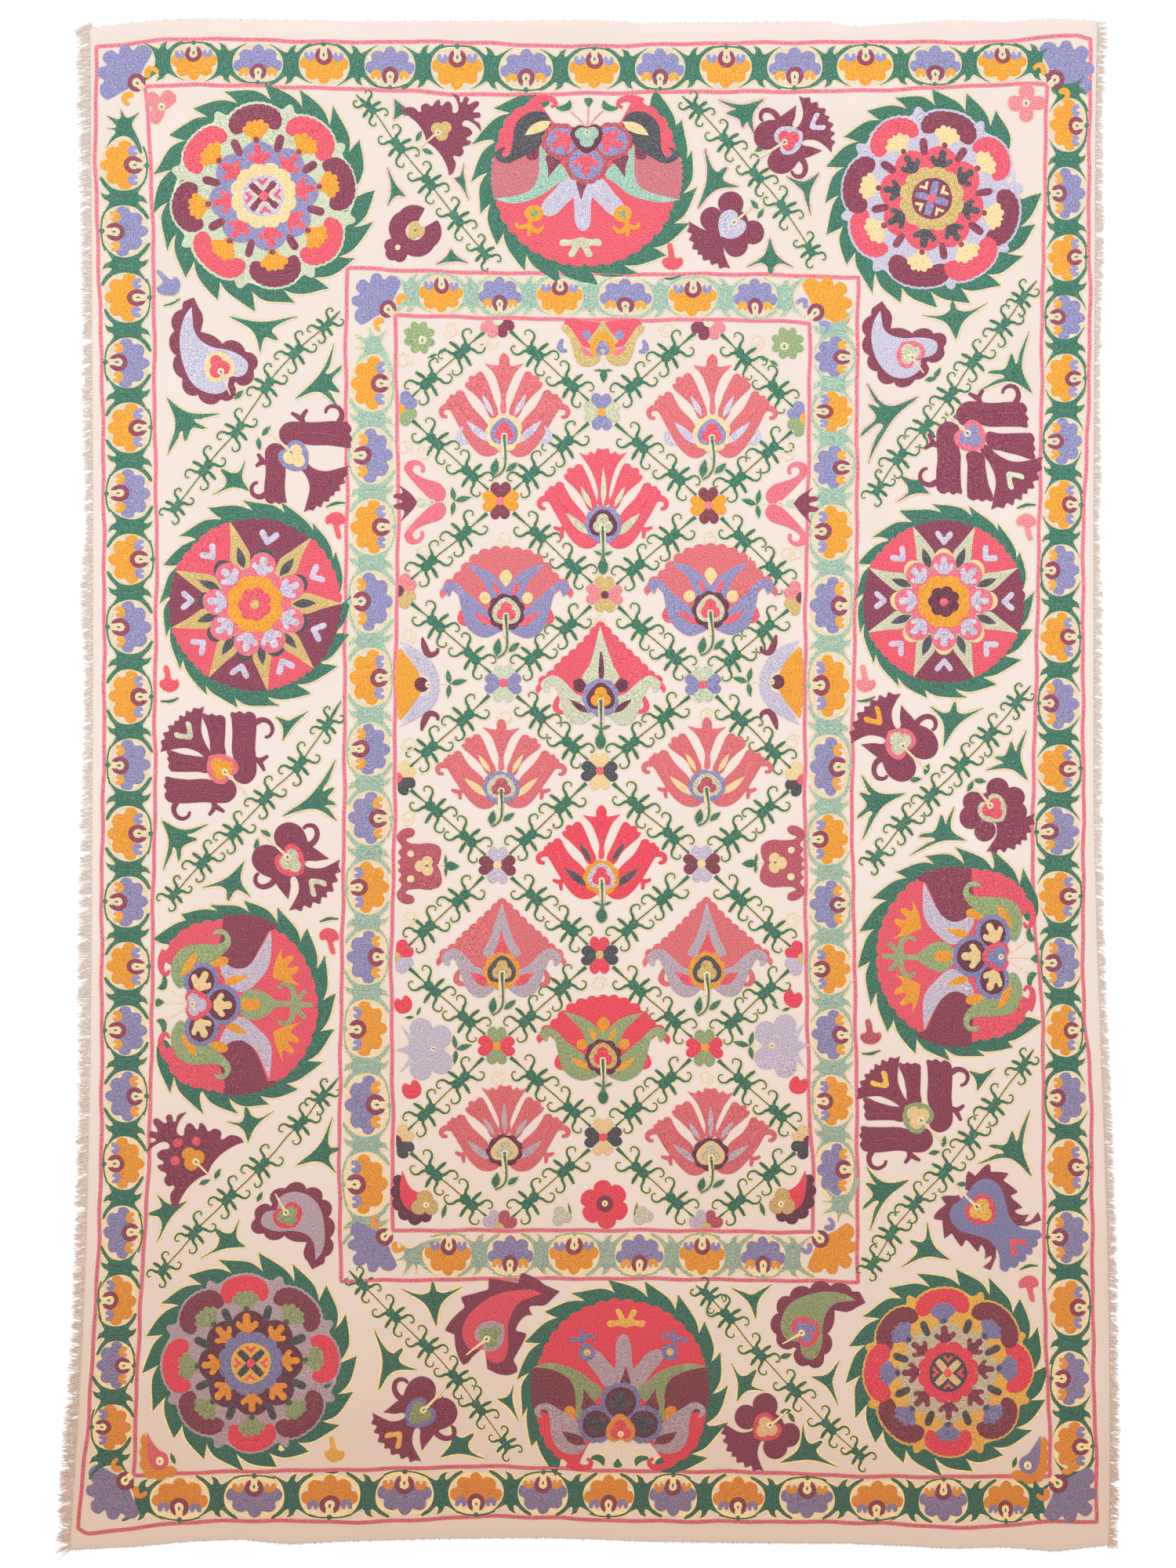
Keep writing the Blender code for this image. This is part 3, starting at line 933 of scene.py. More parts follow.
def star(x, y, size, dot, flower, shadow, ray, sectors, rays):
    """A wreath, eight sectors with a ray between every two, then the rings at the centre."""
    at = Place(x, y, size=size)
    wreath(at, ring=119, reach=25, teeth=17, start=8, swell=lambda a: -2 - 7 * math.cos(math.radians(2 * a)))
    disc(at, "rose_bright", 52, 4)

    def arm(r, a):
        """A place r mm from the star's middle that faces outwards."""
        return Place(*around([(r, a)])[0], a - 90, on=at)

    for n, start in enumerate(rays):
        end = rays[n + 1] if n < 7 else rays[0] + 360
        middle, half = (start + end) / 2, (end - start) / 2
        arc = scalloped(circle(118, start, end), 6, 4, False)
        chord = smooth(around([(40, end), (40, start)]), closed=False)
        fill(sectors[n % 2], at(np.concatenate([arc, chord])), 2)
        kite = smooth(both_sides([(0, -48, 1), (11, -12), (14, 0), (9, 18), (0, 50, 1)]))
        fill(ray, arm(72, start)(kite), 3)
        almond(arm(52, start), "charcoal", 34, 13, 4)
        disc(arm(66, middle), shadow, 14, 3)
        disc(arm(55, middle), "rose_bright", 18.5, 5)
        trefoil(arm(44, middle), "lilac", 6, 0.95)
        bracket = both_sides([(0, -8), (7, -2), (14, 7), (11, 12), (5, 9), (0, 3)])
        patch(arm(93, middle), "lilac", bracket, 3)
    disc(at, "gold", 38, 6, 8, 5)
    disc(at, flower, 22, 7, 7, 4.5)
    disc(at, dot, 6.5, 8)


for row in STARS:
    star(**row)
print("stars:", len(STARS))

# %% [markdown]
# ## Palmettes
#
# A palmette is a flower seen from the side: a seed heart at its root, three discs behind it, horns and
# blades that curl away to both sides, and a scalloped disc behind them all. It is the same on the left
# and the right, so each shape is drawn once and mirrored. Its fan opens along +y, so turning the place
# makes it face the head, the foot or a side.

# %% Palmettes
# The shapes of a palmette's right half, for the two at head and foot and for the two at the sides.
UPRIGHT = dict(
    lobe=(-17, 12), lobe_side=[(100, 88), (75, 80), (62, 60), (60, 36), (74, 18), (104, 26)],
    blade=[(121, 90, 1), (98, 95), (78, 92), (56, 83), (38, 69), (24, 56), (38, 38), (57, 14), (61, 32),
           (62, 54), (68, 71), (82, 81), (98, 86)],
    horn=[(105, 17, 1), (113, 20), (118, 27), (113, 36), (100, 39), (86, 32), (70, 22), (58, 10), (50, -4),
          (46, -16), (52, -29), (68, -33), (84, -26), (93, -11), (95, 6), (97, 20), (101, 29), (108, 30),
          (110, 25)],
    horn_leaf=[(80, 0, 1), (72, -13), (60, -19), (46, -19, 1), (51, -9), (64, -3)],
    wedge=[(50, 60, 1), (51, 45), (52, 28), (34, 34), (42, 48)],
    bump=[(57, 0, 1), (61, 16), (63, 31), (70, 35), (77, 31), (72, 16)], root=0)
SIDEWAYS = dict(
    lobe=(-12, 29), lobe_side=[(99, 108), (78, 98), (56, 84), (47, 66), (50, 40), (76, 36), (100, 40)],
    blade=[(101, 112, 1), (82, 114), (55, 112), (35, 97), (17, 68), (32, 46), (56, 38), (50, 55), (48, 68),
           (51, 77), (60, 88), (84, 103)],
    horn=[(94, 27, 1), (101, 31), (101, 44), (92, 52), (82, 52), (69, 42), (56, 22), (46, 5), (38, -10),
          (22, -22), (34, -34), (52, -36), (70, -28), (80, -13), (82, 9), (81, 31), (85, 42), (92, 44),
          (95, 38)],
    horn_leaf=[(72, 3, 1), (66, -8), (54, -17), (38, -22, 1), (44, -10), (56, -2)],
    wedge=[(39, 81, 1), (39, 62), (33, 47), (26, 47), (27, 61)],
    bump=[(54, 15, 1), (51, 30), (53, 44), (60, 49), (65, 42), (62, 28)], root=-9)
# What all palmettes share, and what the two at the sides share; each row below adds its own.
ANY_PALMETTE = dict(back="cochineal_coral", wide=1.03, rim="indigo", discs="plum_dark", stem="cream_outline",
                    fruit=False)
SIDE_PALMETTE = dict(ANY_PALMETTE, tall=0.93, form=SIDEWAYS, lobe="plum", blade="lilac", wedge="gold",
                     horn="moss", horn_leaf="gold", bump="gold", trefoils="pale_yellow",
                     heart="cochineal_coral", fruit=True, middle="moss", spike="gold", sides="gold",
                     top=None)
END_PALMETTE = dict(ANY_PALMETTE, tall=1.0, form=UPRIGHT)
PALMETTES = [
    dict(END_PALMETTE, x=-5, y=845, turn=180, wide=1.09, lobe="mauve", blade="teal_pale", wedge="plum",
         horn="charcoal", horn_leaf="pale_yellow", bump="plum", rim="raspberry", discs="indigo_pale",
         trefoils="cochineal_coral", heart="plum_dark", core="teal_pale", middle="lilac", spike="plum",
         sides="gold", top="sage", stem="pink_soft"),
    dict(SIDE_PALMETTE, x=-490, y=-310, turn=-90, core="lilac"),
    dict(SIDE_PALMETTE, x=513, y=-239, turn=90, core="indigo"),
    dict(END_PALMETTE, x=46, y=-840, turn=0, wide=1.02, back="cochineal_crimson", lobe="chocolate",
         blade="moss", wedge="chocolate", horn="lilac_grey", horn_leaf="chocolate", bump="gold",
         trefoils="charcoal", heart="gold", core="cochineal_coral", middle="lilac_grey", spike="chocolate",
         sides="indigo", top="yellow_deep"),
]
PALMETTE_MIDDLE = (2, 66)    # the centre of the scalloped disc, from the seed heart


def tulip(at, thread, layer=3, size=1.0):
    """Four prongs, the outer two sharp, from a root at zero."""
    shape = [(0, -3, 1), (-14, 8), (-33, 27, 1), (-15, 21), (-12, 34), (-7, 38), (-4, 31), (0, 23), (4, 31),
             (7, 38), (12, 34), (14, 22), (28, 30, 1), (13, 8)]
    fill(thread, at(size * smooth(shape)), layer)


def scroll(at, thread, dot, layer=3):
    """A ring that trails off into curled hooks."""
    disc(at, thread, 12, layer)
    disc(at, dot, 5.5, layer + 1)
    for path in ([(0, 8), (-6, 20), (-13, 30)], [(-5, 18), (5, 27), (11, 23)],
                 [(-5, 18), (-17, 19), (-20, 8)]):
        hook(at, thread, path, [7, 6, 4], layer)


def four_prongs(at, thread, layer=3):
    """Two prongs that point outwards from a short bar."""
    half = [(0, 8), (3, 12), (9, 22), (15, 19), (10, 8), (13, 6), (26, 5), (24, -3), (12, -2), (0, -5)]
    patch(at, thread, both_sides(half), layer)


def palmette(x, y, turn, wide, tall, form, back, lobe, blade, wedge, horn, horn_leaf, bump, rim, discs,
             trefoils, heart, core, fruit, middle, spike, sides, top, stem):
    """One palmette, from the wreath and the disc at its back to the seed in front."""
    hub = Place(x, y, turn, wide=wide, tall=tall)

    def swell(a):
        """The disc is fuller towards its two lower corners."""
        return 18 * (np.exp(-((a + 47) / 25) ** 2) + np.exp(-((a - 227) / 25) ** 2))

    def arc(r, a, b):
        """An arc of the swelling disc, as seen from the seed heart."""
        return polar(lambda angle: r + swell(angle), a, b) + complex(*PALMETTE_MIDDLE)

    wreath(hub, ring=117, reach=28, teeth=15, start=-66, end=232, swell=lambda a: 0.7 * swell(a))
    at = Place(-PALMETTE_MIDDLE[0], -PALMETTE_MIDDLE[1], on=hub)
    foot = smooth(both_sides([(-44, -20), (-30, -8)]), closed=False)
    fill(back, at(np.concatenate([scalloped(arc(115, -62, 242), 32, 4, False), foot])), 2)
    for half in halves(at):
        lean = -1 if half.mirror else 1
        hook(half, back, [(72, -44), (58, -51), (46, -51), (40, -44), (46, -39)], [15, 13, 9, 7, 4], 2)
        fill(lobe, half(np.concatenate([scalloped(arc(117, *form["lobe"]), 7, 4, False),
                                        smooth(form["lobe_side"], closed=False)])), 3)
        patch(half, blade, form["blade"], 4)
        patch(half, wedge, form["wedge"], 5)
        patch(half, bump, form["bump"], 5)
        patch(half, horn, form["horn"], 6)
        patch(half, horn_leaf, form["horn_leaf"], 7)
        if fruit:
            tulip(Place(39, 119, -30, on=half), sides)
        else:
            dot = "yellow_deep" if sides == "indigo" else "olive"
            scroll(Place(57 + 11 * lean, 110, -35, on=half), sides, dot, 5)
            petal(Place(8 + 5 * lean, 62, -40, on=half), middle, 66, 25, 4, 0.8)
        root = Place(0, form["root"], on=half)
        patch(root, "green", [(22, -50, 1), (20, -42), (23, -36), (33, -34), (40, -39), (32, -42),
                              (27, -45)], 1, halo=2.2)
        hook(half, stem, [(0, -8), (8, -20), (22, -34 + form["root"])], 2.2, 1)
    if fruit:
        body = [(0, 64), (8, 66), (17, 74), (21, 88), (18, 101), (11, 113), (4, 124), (3, 136)]
        patch(at, middle, both_sides(body), 4)
        petal(Place(0, 70, on=at), spike, 27, 17, 5, 0.7)
        hook(at, middle, [(0, 130), (0, 154), (0, 176)], [7, 9, 6], 4)
        for half in halves(at):
            hook(half, middle, [(0, 146), (10, 156), (19, 166)], [7, 7, 5], 4)
            hook(half, middle, [(0, 147), (14, 147), (23, 143), (27, 134), (22, 124)], [7, 8, 7, 6, 4], 4)
    else:
        petal(Place(5, 62, on=at), middle, 73, 23, 4, 0.8)
        patch(at, spike, [(7, 92, 1), (11, 78), (13, 64), (0, 62), (3, 78)], 5)
        four_prongs(Place(8, 149, on=at), top)
    rounds = ((-32, 9, 19.5, 62), (32, 9, 19.5, -62), (1, 40, 21.5, 0))
    for px, py, r, way in rounds:
        disc(Place(px, py, on=at), rim, r + 6, 7, 12, 2.5)
    for px, py, r, way in rounds:
        disc(Place(px, py, on=at), discs, r, 8)
        trefoil(Place(0, -10, on=Place(px, py, way, on=at)), trefoils, 9, 1.02)
    patch(at, heart, both_sides([(0, 25), (11, 18), (20, 3), (19, -8), (10, -15), (0, -12)]), 10)
    clover(Place(0, 1, on=at), core, 16, 11)
    seed(Place(0, -4, on=at), 12)
    hook(at, stem, [(0, -8), (-2, -38 + form["root"])], 2.2, 1)
    patch(Place(-3, form["root"], on=at), "green", [(0, -38, 1), (6, -49), (0, -52), (-6, -49)], 1, halo=2.2)


for row in PALMETTES:
    palmette(**row)
print("palmettes:", len(PALMETTES))

# %% [markdown]
# ## The vines of the wide border
#
# Diagonal vines part the medallions. A vine is a thin dark stem with a row of small knots on it, each
# with two stubs and four curled hooks, something between a bud and a beetle. One function makes a knot
# along +y, and another strings knots on to a stem.

# %% Knots and vines
def beetle(at):
    """A knot of the vine."""
    half = [(2, 14), (6, 10), (7, 5), (4.6, 0), (7, -5), (6, -10), (2, -14)]
    patch(at, "green", both_sides(half), 1, halo=2.2)
    for mirror, end in ((False, 1), (True, 1), (False, -1), (True, -1)):
        arm = Place(mirror=mirror, tall=end, on=at)
        hook(arm, "green", [(3, 9), (8, 13), (15, 15), (19, 20), (17, 27), (12, 28), (10, 25)],
             [5.5, 4, 3, 2.4, 1.8], 1, 2.0)
    for half in halves(at):
        hook(half, "green", [(3, 1), (12, 2), (21, 4)], [4, 5, 5.4, 3], 1, 2.2)


def vine(start, *knots):
    """A stem from its start through its knots; the first and last knots are smaller."""
    spots = np.array([complex(*start)] + [complex(*knot) for knot in knots])
    line("stem_dark", smooth([(p.real, p.imag) for p in spots], closed=False), 1.9, 1, halo=1.6)
    line("green", smooth([(p.real, p.imag) for p in spots[:2]], closed=False), [1.5, 5, 2], 1, halo=1.6)
    for n in range(1, len(spots)):
        way = spots[min(n + 1, len(spots) - 1)] - spots[n - 1]
        small = 0.8 if n in (1, len(spots) - 1) else 0.95
        beetle(Place(spots[n].real, spots[n].imag, math.degrees(np.angle(way)) - 90, small))


VINES = [
    [(-327, 968), (-306, 949), (-267, 896), (-225, 845), (-185, 794), (-148, 746)],
    [(131, 966), (151, 948), (193, 903), (236, 855), (273, 809), (310, 750)],
    [(-349, 664), (-369, 644), (-411, 607), (-451, 560), (-493, 498), (-537, 444), (-578, 390)],
    [(-347, 118), (-367, 84), (-406, 29), (-453, -18), (-497, -67), (-540, -107), (-581, -152)],
    [(-352, -410), (-374, -438), (-405, -475), (-459, -534), (-505, -579), (-552, -628), (-596, -680)],
    [(-336, -680), (-317, -701), (-274, -745), (-228, -787), (-187, -831), (-154, -874), (-117, -924)],
    [(150, -702), (167, -716), (195, -746), (239, -798), (288, -849), (337, -900), (378, -938)],
    [(628, 706), (608, 683), (581, 643), (541, 595), (507, 548), (472, 502), (436, 460), (406, 416)],
    [(620, 140), (601, 117), (563, 70), (523, 28), (481, -14), (442, -55), (404, -101)],
    [(625, -372), (608, -395), (568, -449), (536, -495), (499, -542), (458, -586), (425, -629), (399, -671)],
]
for row in VINES:
    vine(*row)

# %% [markdown]
# ## Leaf sprigs
#
# On both sides of a vine lie leaves like a bird's foot: two long toes, a short heel, and up to two prongs
# between the toes. A sprig is stated by the places of its two toes and its heel. Its middle, the hollows
# of its sides and the prongs follow from those.

# %% Sprigs
def sprig(toe, other, heel, prongs, halo_thread):
    """One leaf sprig on its pale thread."""
    a, b, c = complex(*toe), complex(*other), complex(*heel)
    hub = (a + b + c) / 3
    turned = ((b - a) * (c - a).conjugate()).imag > 0     # the table may name the toes either way round

    def hollow(p, q, share=0.55, low=8.5, high=14):
        """Between two tips, but drawn in towards the middle."""
        out = (p + q) / 2 - hub
        return hub + out / max(abs(out), 1) * min(max(share * abs(out), low), high)

    def beside(tip, other_tip, along, off):
        """Part of the way out to a tip, and a little to the side of the other tip."""
        return hub + (tip - hub) * along + (other_tip - tip) / abs(other_tip - tip) * off

    spots = [(c, 1), (hollow(c, a), 0), (a, 1), (beside(a, b, 0.52, 4.5), 0)]
    to_a, to_b = (a - hub) / abs(a - hub), (b - hub) / abs(b - hub)
    ways = [hub + (to_a * (prongs - n) + to_b * (n + 1)) for n in range(prongs)]
    for n, way in enumerate(ways):
        way = (way - hub) / abs(way - hub)
        long = 24 if n == 0 else 0.62 * abs(b - hub)
        side = 1j * way * (1 if turned else -1)
        spots += [(hub + way * 12 + side * 5.5, 0), (hub + way * long * 0.85 + side * 3, 0)]
        spots += [(hub + way * (long + 2), 0)] if n == 0 else [(hub + way * long, 1)]
        spots += [(hub + way * long * 0.85 - side * (3 if n == 0 else 1), 0)]
    if not prongs:
        spots += [(hollow(a, b, 0.2, 4, 8), 0)]
    else:
        spots += [(hub + way * 12 - side * 5.5, 0)]
    spots += [(beside(b, a, 0.52, 4.5), 0), (b, 1), (hollow(b, c), 0)]
    shape = smooth([(p.real, p.imag, 1) if corner else (p.real, p.imag) for p, corner in spots])
    outline = anticlockwise(by_hand(shape))
    lay_round(outline, 3.0, halo_thread)
    lay("green", outline, 1)


# Each sprig: toe x and y, the other toe, the heel, and how many prongs lie between the toes.
SPRIGS = [
    (-406, 657, -461, 607, -506, 657, 1), (-350, 529, -356, 620, -413, 541, 2),
    (-591, 461, -517, 521, -592, 544, 2), (-482, 457, -530, 406, -476, 412, 1),
    (-440, 96, -394, 104, -430, 61, 0), (-354, 37, -352, -52, -431, -45, 2),
    (-532, -54, -598, -123, -599, -50, 2), (-474, -158, -544, -146, -483, -106, 1),
    (-510, -473, -441, -457, -477, -501, 1), (-358, -465, -354, -545, -411, -534, 1),
    (-605, -575, -606, -643, -563, -584, 1), (-489, -609, -547, -665, -481, -648, 1),
    (-264, -706, -177, -704, -214, -759, 1), (-301, -761, -240, -820, -295, -850, 1),
    (-105, -841, -99, -893, -128, -861, 0), (-194, -892, -142, -947, -209, -944, 1),
    (199, -705, 258, -700, 234, -750, 0), (199, -809, 246, -850, 208, -865, 1),
    (352, -807, 350, -871, 312, -831, 0), (301, -898, 349, -958, 269, -951, 1),
    (465, 660, 561, 676, 515, 624, 1), (618, 637, 544, 550, 622, 549, 2), (478, 110, 555, 108, 498, 54, 1),
    (614, 78, 555, 20, 615, 6, 2), (381, 15, 383, -78, 443, -12, 2), (512, -30, 448, -99, 529, -78, 2),
    (533, -401, 571, -396, 545, -431, 0), (620, -455, 543, -531, 622, -549, 2),
    (389, -534, 393, -627, 450, -554, 2), (475, -613, 437, -677, 508, -666, 1),
]
PINK_HALO_SPRIGS = [
    (-248, 938, -274, 933, -273, 962, 0), (-284, 867, -282, 810, -256, 825, 0),
    (-175, 872, -168, 818, -189, 850, 0), (-215, 729, -169, 731, -194, 753, 0),
    (180, 961, 232, 910, 246, 961, 2), (163, 895, 210, 839, 152, 807, 1), (276, 853, 312, 796, 322, 859, 0),
    (220, 725, 289, 725, 254, 768, 1), (389, 564, 392, 449, 463, 544, 2), (470, 447, 429, 394, 478, 409, 1),
]
for rows, halo_thread in ((SPRIGS, "cream_outline"), (PINK_HALO_SPRIGS, "blush_outline")):
    for ax, ay, bx, by, cx, cy, prongs in rows:
        sprig((ax, ay), (bx, by), (cx, cy), prongs, halo_thread)
print("sprigs:", len(SPRIGS) + len(PINK_HALO_SPRIGS))

# %% [markdown]
# ## The plum flowers of the wide border
#
# Between the sprigs stand large plum flowers: paisleys with a scalloped or spiked border, tulip fans, low
# fans, hooked flowers, flowers of round petals, and two that are hearts. Most of them grow from the same
# middle, a ring, a clover and a seed, with a pale stem that runs back to the vine.

# %% The heart and small parts
def heart(at, ring, leaf, stem=34.0, layer=5, size=1.0):
    """A ring, a clover and a seed, and the pale stem that runs back from them."""
    inner = Place(size=size, on=at)
    patch(inner, ring, both_sides([(0, 27, 1), (15, 17), (22, 1), (17, -13), (7, -16), (0, -11)]), layer)
    clover(Place(0, 3, on=inner), leaf, 17, layer + 1)
    seed(Place(0, -4, on=inner), layer + 2, 5, 3)
    hook(at, "cream_outline", [(0, -7), (0, -stem)], [4.5, 3, 1.8], layer + 2)


def chevron(at, thread, layer=5):
    """A small V of two rounded arms, open towards +y."""
    patch(at, thread, both_sides([(0, -6), (8, 2), (14, 12), (10, 17), (5, 10), (0, 4)]), layer)


def spiked(path, count, depth):
    """The path with count swept spikes on its outer side."""
    ahead = np.gradient(path)
    ahead = ahead / np.maximum(abs(ahead), 1e-9)
    run = np.concatenate([[0], np.cumsum(abs(np.diff(path)))])
    part = (count * run / run[-1]) % 1
    rise = np.where(part < 0.78, (part / 0.78) ** 1.5, (1 - part) / 0.22)
    return path + ahead * (-1j * depth * rise + 0.35 * depth * rise)


# %% Paisley
DROP = [(10, -16), (23, -21), (33, -19), (40, -8), (36, 4), (23, 18), (5, 31), (-8, 49), (-11, 66), (-7, 80),
        (-1, 96, 1), (-15, 88), (-29, 70), (-39, 49), (-45, 25), (-44, 0), (-36, -17), (-22, -29), (-4, -31),
        (4, -23)]


def paisley(heart_at, tip, drop, ring, leaf, spikes=False):
    """A drop from its heart to its tip, in a plum border of scallops or spikes."""
    spot, end = complex(*heart_at), complex(*tip)
    at = Place(spot.real, spot.imag, math.degrees(np.angle(end - spot)) - 90, wide=0.98,
               tall=abs(end - spot) / 107)
    edge = smooth(DROP)
    border = widen(edge, 11)
    border = border[distance(border, edge) > 10]
    border = np.append(spiked(border[5:-3], 9, 14), [6 - 12j]) if spikes else scalloped(border, 12, 9)
    fill("plum", at(border), 2)
    fill(drop, at(edge), 3)
    heart(Place(0, 0, on=at), ring, leaf, 40)


# Each paisley: where its heart is, where its tip ends, drop, ring, clover, and whether it has spikes.
PAISLEYS = [
    ((-518, 583), (-561, 681), "lilac", "pale_yellow", "cochineal_coral", False),
    ((452, 603), (404, 673), "lilac", "rose_bright", "sage", False),
    ((-423, -602), (-380, -676), "lilac_grey", "cochineal_crimson", "moss", False),
    ((302, -767), (383, -719), "moss", "cochineal_coral", "indigo_pale", False),
    ((-140, -774), (-56, -708), "cochineal_coral", "lilac_grey", "moss", True),
]
for row in PAISLEYS:
    paisley(*row)

# %% Tulip fans and the blue heart
FAN_TOP = [(5, 24), (9, 48), (19, 70), (38, 86), (52, 95, 1), (43, 99), (38, 106), (30, 104), (26, 112),
           (17, 108), (12, 115), (5, 110), (0, 114)]
FAN_INNER = [(7, 31), (18, 49), (30, 68), (37, 84), (43, 88), (47, 80), (52, 79), (55, 71), (60, 69),
             (63, 60), (59, 55), (46, 42), (32, 28), (20, 15)]
FAN_OUTER = [(28, 10), (44, 26), (58, 42), (65, 50), (70, 44), (75, 43), (77, 35), (83, 33), (86, 23),
             (82, 16), (72, 5), (52, -12), (38, -28), (26, -38), (12, -38), (4, -30), (3, -17), (16, -8)]


def tulip_fan(x, y, way, ring, leaf, mark, size, inner=True):
    """A plum fan between two outer petals with hooks, and two inner petals if wanted."""
    at = Place(x, y, way - 90)
    patch(Place(size=size, wide=1 if inner else 1.25, on=at), "plum", both_sides(FAN_TOP), 2)
    for mirror in (False, True):
        half = Place(mirror=mirror, size=1 if inner or mirror else 0.84, on=at)
        if inner:
            patch(Place(size=size, on=half), "plum", FAN_INNER, 2)
        patch(half, "plum", FAN_OUTER, 2)
        hook(half, "plum", [(78, 14), (88, 10), (93, 0), (89, -9), (80, -12), (74, -9)], [9, 7, 6, 5, 4], 2)
        hook(half, "plum", [(42, -20), (46, -28), (58, -31)], [5, 7, 4], 2)
        hook(half, "plum", [(42, -20), (43, -30), (40, -43)], [5, 7, 4], 2)
    heart(at, ring, leaf, 48)
    if mark:
        chevron(Place(0, 80 * size, on=at), mark)


TULIP_FANS = [
    (-415, 463, -45, "indigo_pale", "pale_yellow", None, 0.71, False),
    (-513, 21, 135, "rose_bright", "gold", "sage", 0.85),
    (534, 490, -45, "rose_bright", "indigo_pale", "mint", 1.0),
    (463, -468, 135, "moss", "pale_yellow", "yellow_deep", 0.85),
]
for row in TULIP_FANS:
    tulip_fan(*row)


def blue_heart(x, y, way):
    """A blue heart whose tail ends in a scalloped fan, in a plum border of spikes."""
    at = Place(x, y, way - 90)
    side = [(8, -28), (24, -30), (38, -22), (42, 0), (32, 22), (22, 40), (24, 62), (38, 80, 1)]
    for half in halves(at):
        path = smooth([(6, -34), (26, -38), (46, -28), (51, 0), (40, 26), (31, 44), (35, 62), (50, 72)],
                      closed=False)
        back = smooth([(30, 64), (16, 44), (26, 16), (30, 0), (20, -20), (8, -26)], closed=False)
        fill("plum", half(np.concatenate([spiked(path, 7, 12), back])), 2)
    edge = scalloped(smooth(both_sides([(38, 80), (20, 87), (0, 90)]), closed=False), 6, 7, False)
    right, left = smooth(side, closed=False), smooth([(-p[0], *p[1:]) for p in side[::-1]], closed=False)
    fill("indigo", at(np.concatenate([right, edge, left])), 3)
    heart(at, "cochineal_coral", "yellow_deep", 44)
    chevron(Place(0, 66, on=at), "cochineal_coral", 4)


blue_heart(548, -595, -45)

# %% Low fans, hooked flowers and round flowers
LOW_FAN = [(0, 0, 1), (14, 5), (34, 6), (55, 1), (67, -5, 1), (68, 3), (59, 16), (46, 21), (53, 28),
           (50, 38), (42, 41), (45, 51), (43, 58), (34, 54), (34, 65), (31, 70), (22, 69), (12, 63),
           (10, 73), (24, 81), (41, 82, 1), (28, 88), (17, 85), (21, 95), (14, 98), (8, 91), (4, 104),
           (0, 107)]


def low_fan(x, y, way, leaf, size=1.0, dots=None):
    """A plum fan on a flat base, with a clover and a seed at its root."""
    at = Place(x, y, way - 90, size)
    patch(at, "plum", both_sides(LOW_FAN), 2)
    clover(Place(0, 30, on=at), leaf, 17, 4)
    seed(Place(0, 24, on=at), 5, 5, 3)
    hook(at, "cream_outline", [(0, 20), (0, -14)], [3.5, 2.5, 1.8], 5)
    for px, py in ((-20, 44), (0, 60), (20, 44)) if dots else ():
        disc(Place(px, py, on=at), dots, 6.5, 4)


low_fan(-227, 902, 37, "khaki", 0.85)
low_fan(-534, -545, 135, "gold", 1.0, "cochineal_coral")

TAIL_FAN = [(9, 10), (12, 26), (22, 40), (38, 47), (50, 50, 1), (42, 56), (39, 63), (31, 60), (27, 69),
            (19, 66), (13, 74), (5, 69), (0, 74)]


def hooked(x, y, way, ring, leaf, mark, size=1.0):
    """Two round lobes at the root, a hook and a spike on either side, and a scalloped tail."""
    at = Place(x, y, way - 90, size)
    patch(at, "plum", both_sides(TAIL_FAN), 2)
    for half in halves(at):
        lobe = [(0, -14), (6, -36), (20, -44), (36, -38), (43, -24), (41, -10), (36, 2), (38, 20),
                (40, 39, 1), (26, 28), (16, 18), (6, 22), (0, 20)]
        patch(half, "plum", lobe, 2)
        hook(half, "plum", [(30, 4), (42, 6), (53, 1), (57, -9), (51, -17), (44, -17)], [9, 8, 7, 6, 4], 2)
    heart(at, ring, leaf, 52)
    chevron(Place(0, 46, on=at), mark, 4)


for row in (
    (438, 57, 135, "rose_bright", "mint", "gold"), (-420, -105, -45, "cochineal_coral", "sage", "sage"),
    (-235, -880, 225, "indigo", "moss", "yellow_deep", 0.97),
    (278, 903, 30, "lilac", "cochineal_coral", "lilac", 0.92),
):
    hooked(*row)


def round_flower(x, y, ring, leaf, tail, petals):
    """Round petals about a heart, each (degrees, distance, radius), and a small fan for a tail."""
    at = Place(x, y)
    for way, far, radius in petals:
        disc(Place(*around([(far, way)])[0], on=at), "plum", radius, 2)
    disc(at, "plum", 22, 2)
    fan = Place(0, 0, tail - 90, 0.88, on=at)
    patch(fan, "plum", both_sides(TAIL_FAN), 2)
    heart(Place(turn=tail - 90, on=at), ring, leaf, 36, size=0.92)


round_flower(202, 787, "lilac", "lilac", 222, [(96, 28, 17), (169, 30, 17), (-25, 30, 17), (-82, 30, 17)])
round_flower(251, -900, "cochineal_coral", "pale_yellow", 220,
             [(96, 30, 17), (157, 33, 17), (-22, 31, 17), (-70, 31, 17)])
round_flower(565, -32, "sage", "cochineal_coral", -52,
             [(71, 27, 16), (25, 35, 15), (-10, 36, 15), (164, 27, 15), (204, 33, 16), (254, 34, 15)])


def curled_heart(x, y):
    """A plum body of two round lobes with a gap at its upper right, a clover of three leaves in its hollow,
    and a tail of three small lobes to the lower left."""
    at = Place(x, y, -45)
    body = np.concatenate([scalloped(circle(34, -250, 70), 5, 3, False), circle(14, 62, -242)])
    fill("plum", at(body), 2)
    for px, py, r in ((-9, -38, 10), (0, -44, 10), (9, -38, 10)):
        disc(Place(px, py, on=at), "plum", r, 2)
    disc(Place(0, -33, on=at), "cream_outline", 4, 3)
    clover(Place(0, 0, 180, on=at), "khaki", 14, 4)
    pupil(at, 3, 5)


curled_heart(-244, 777)

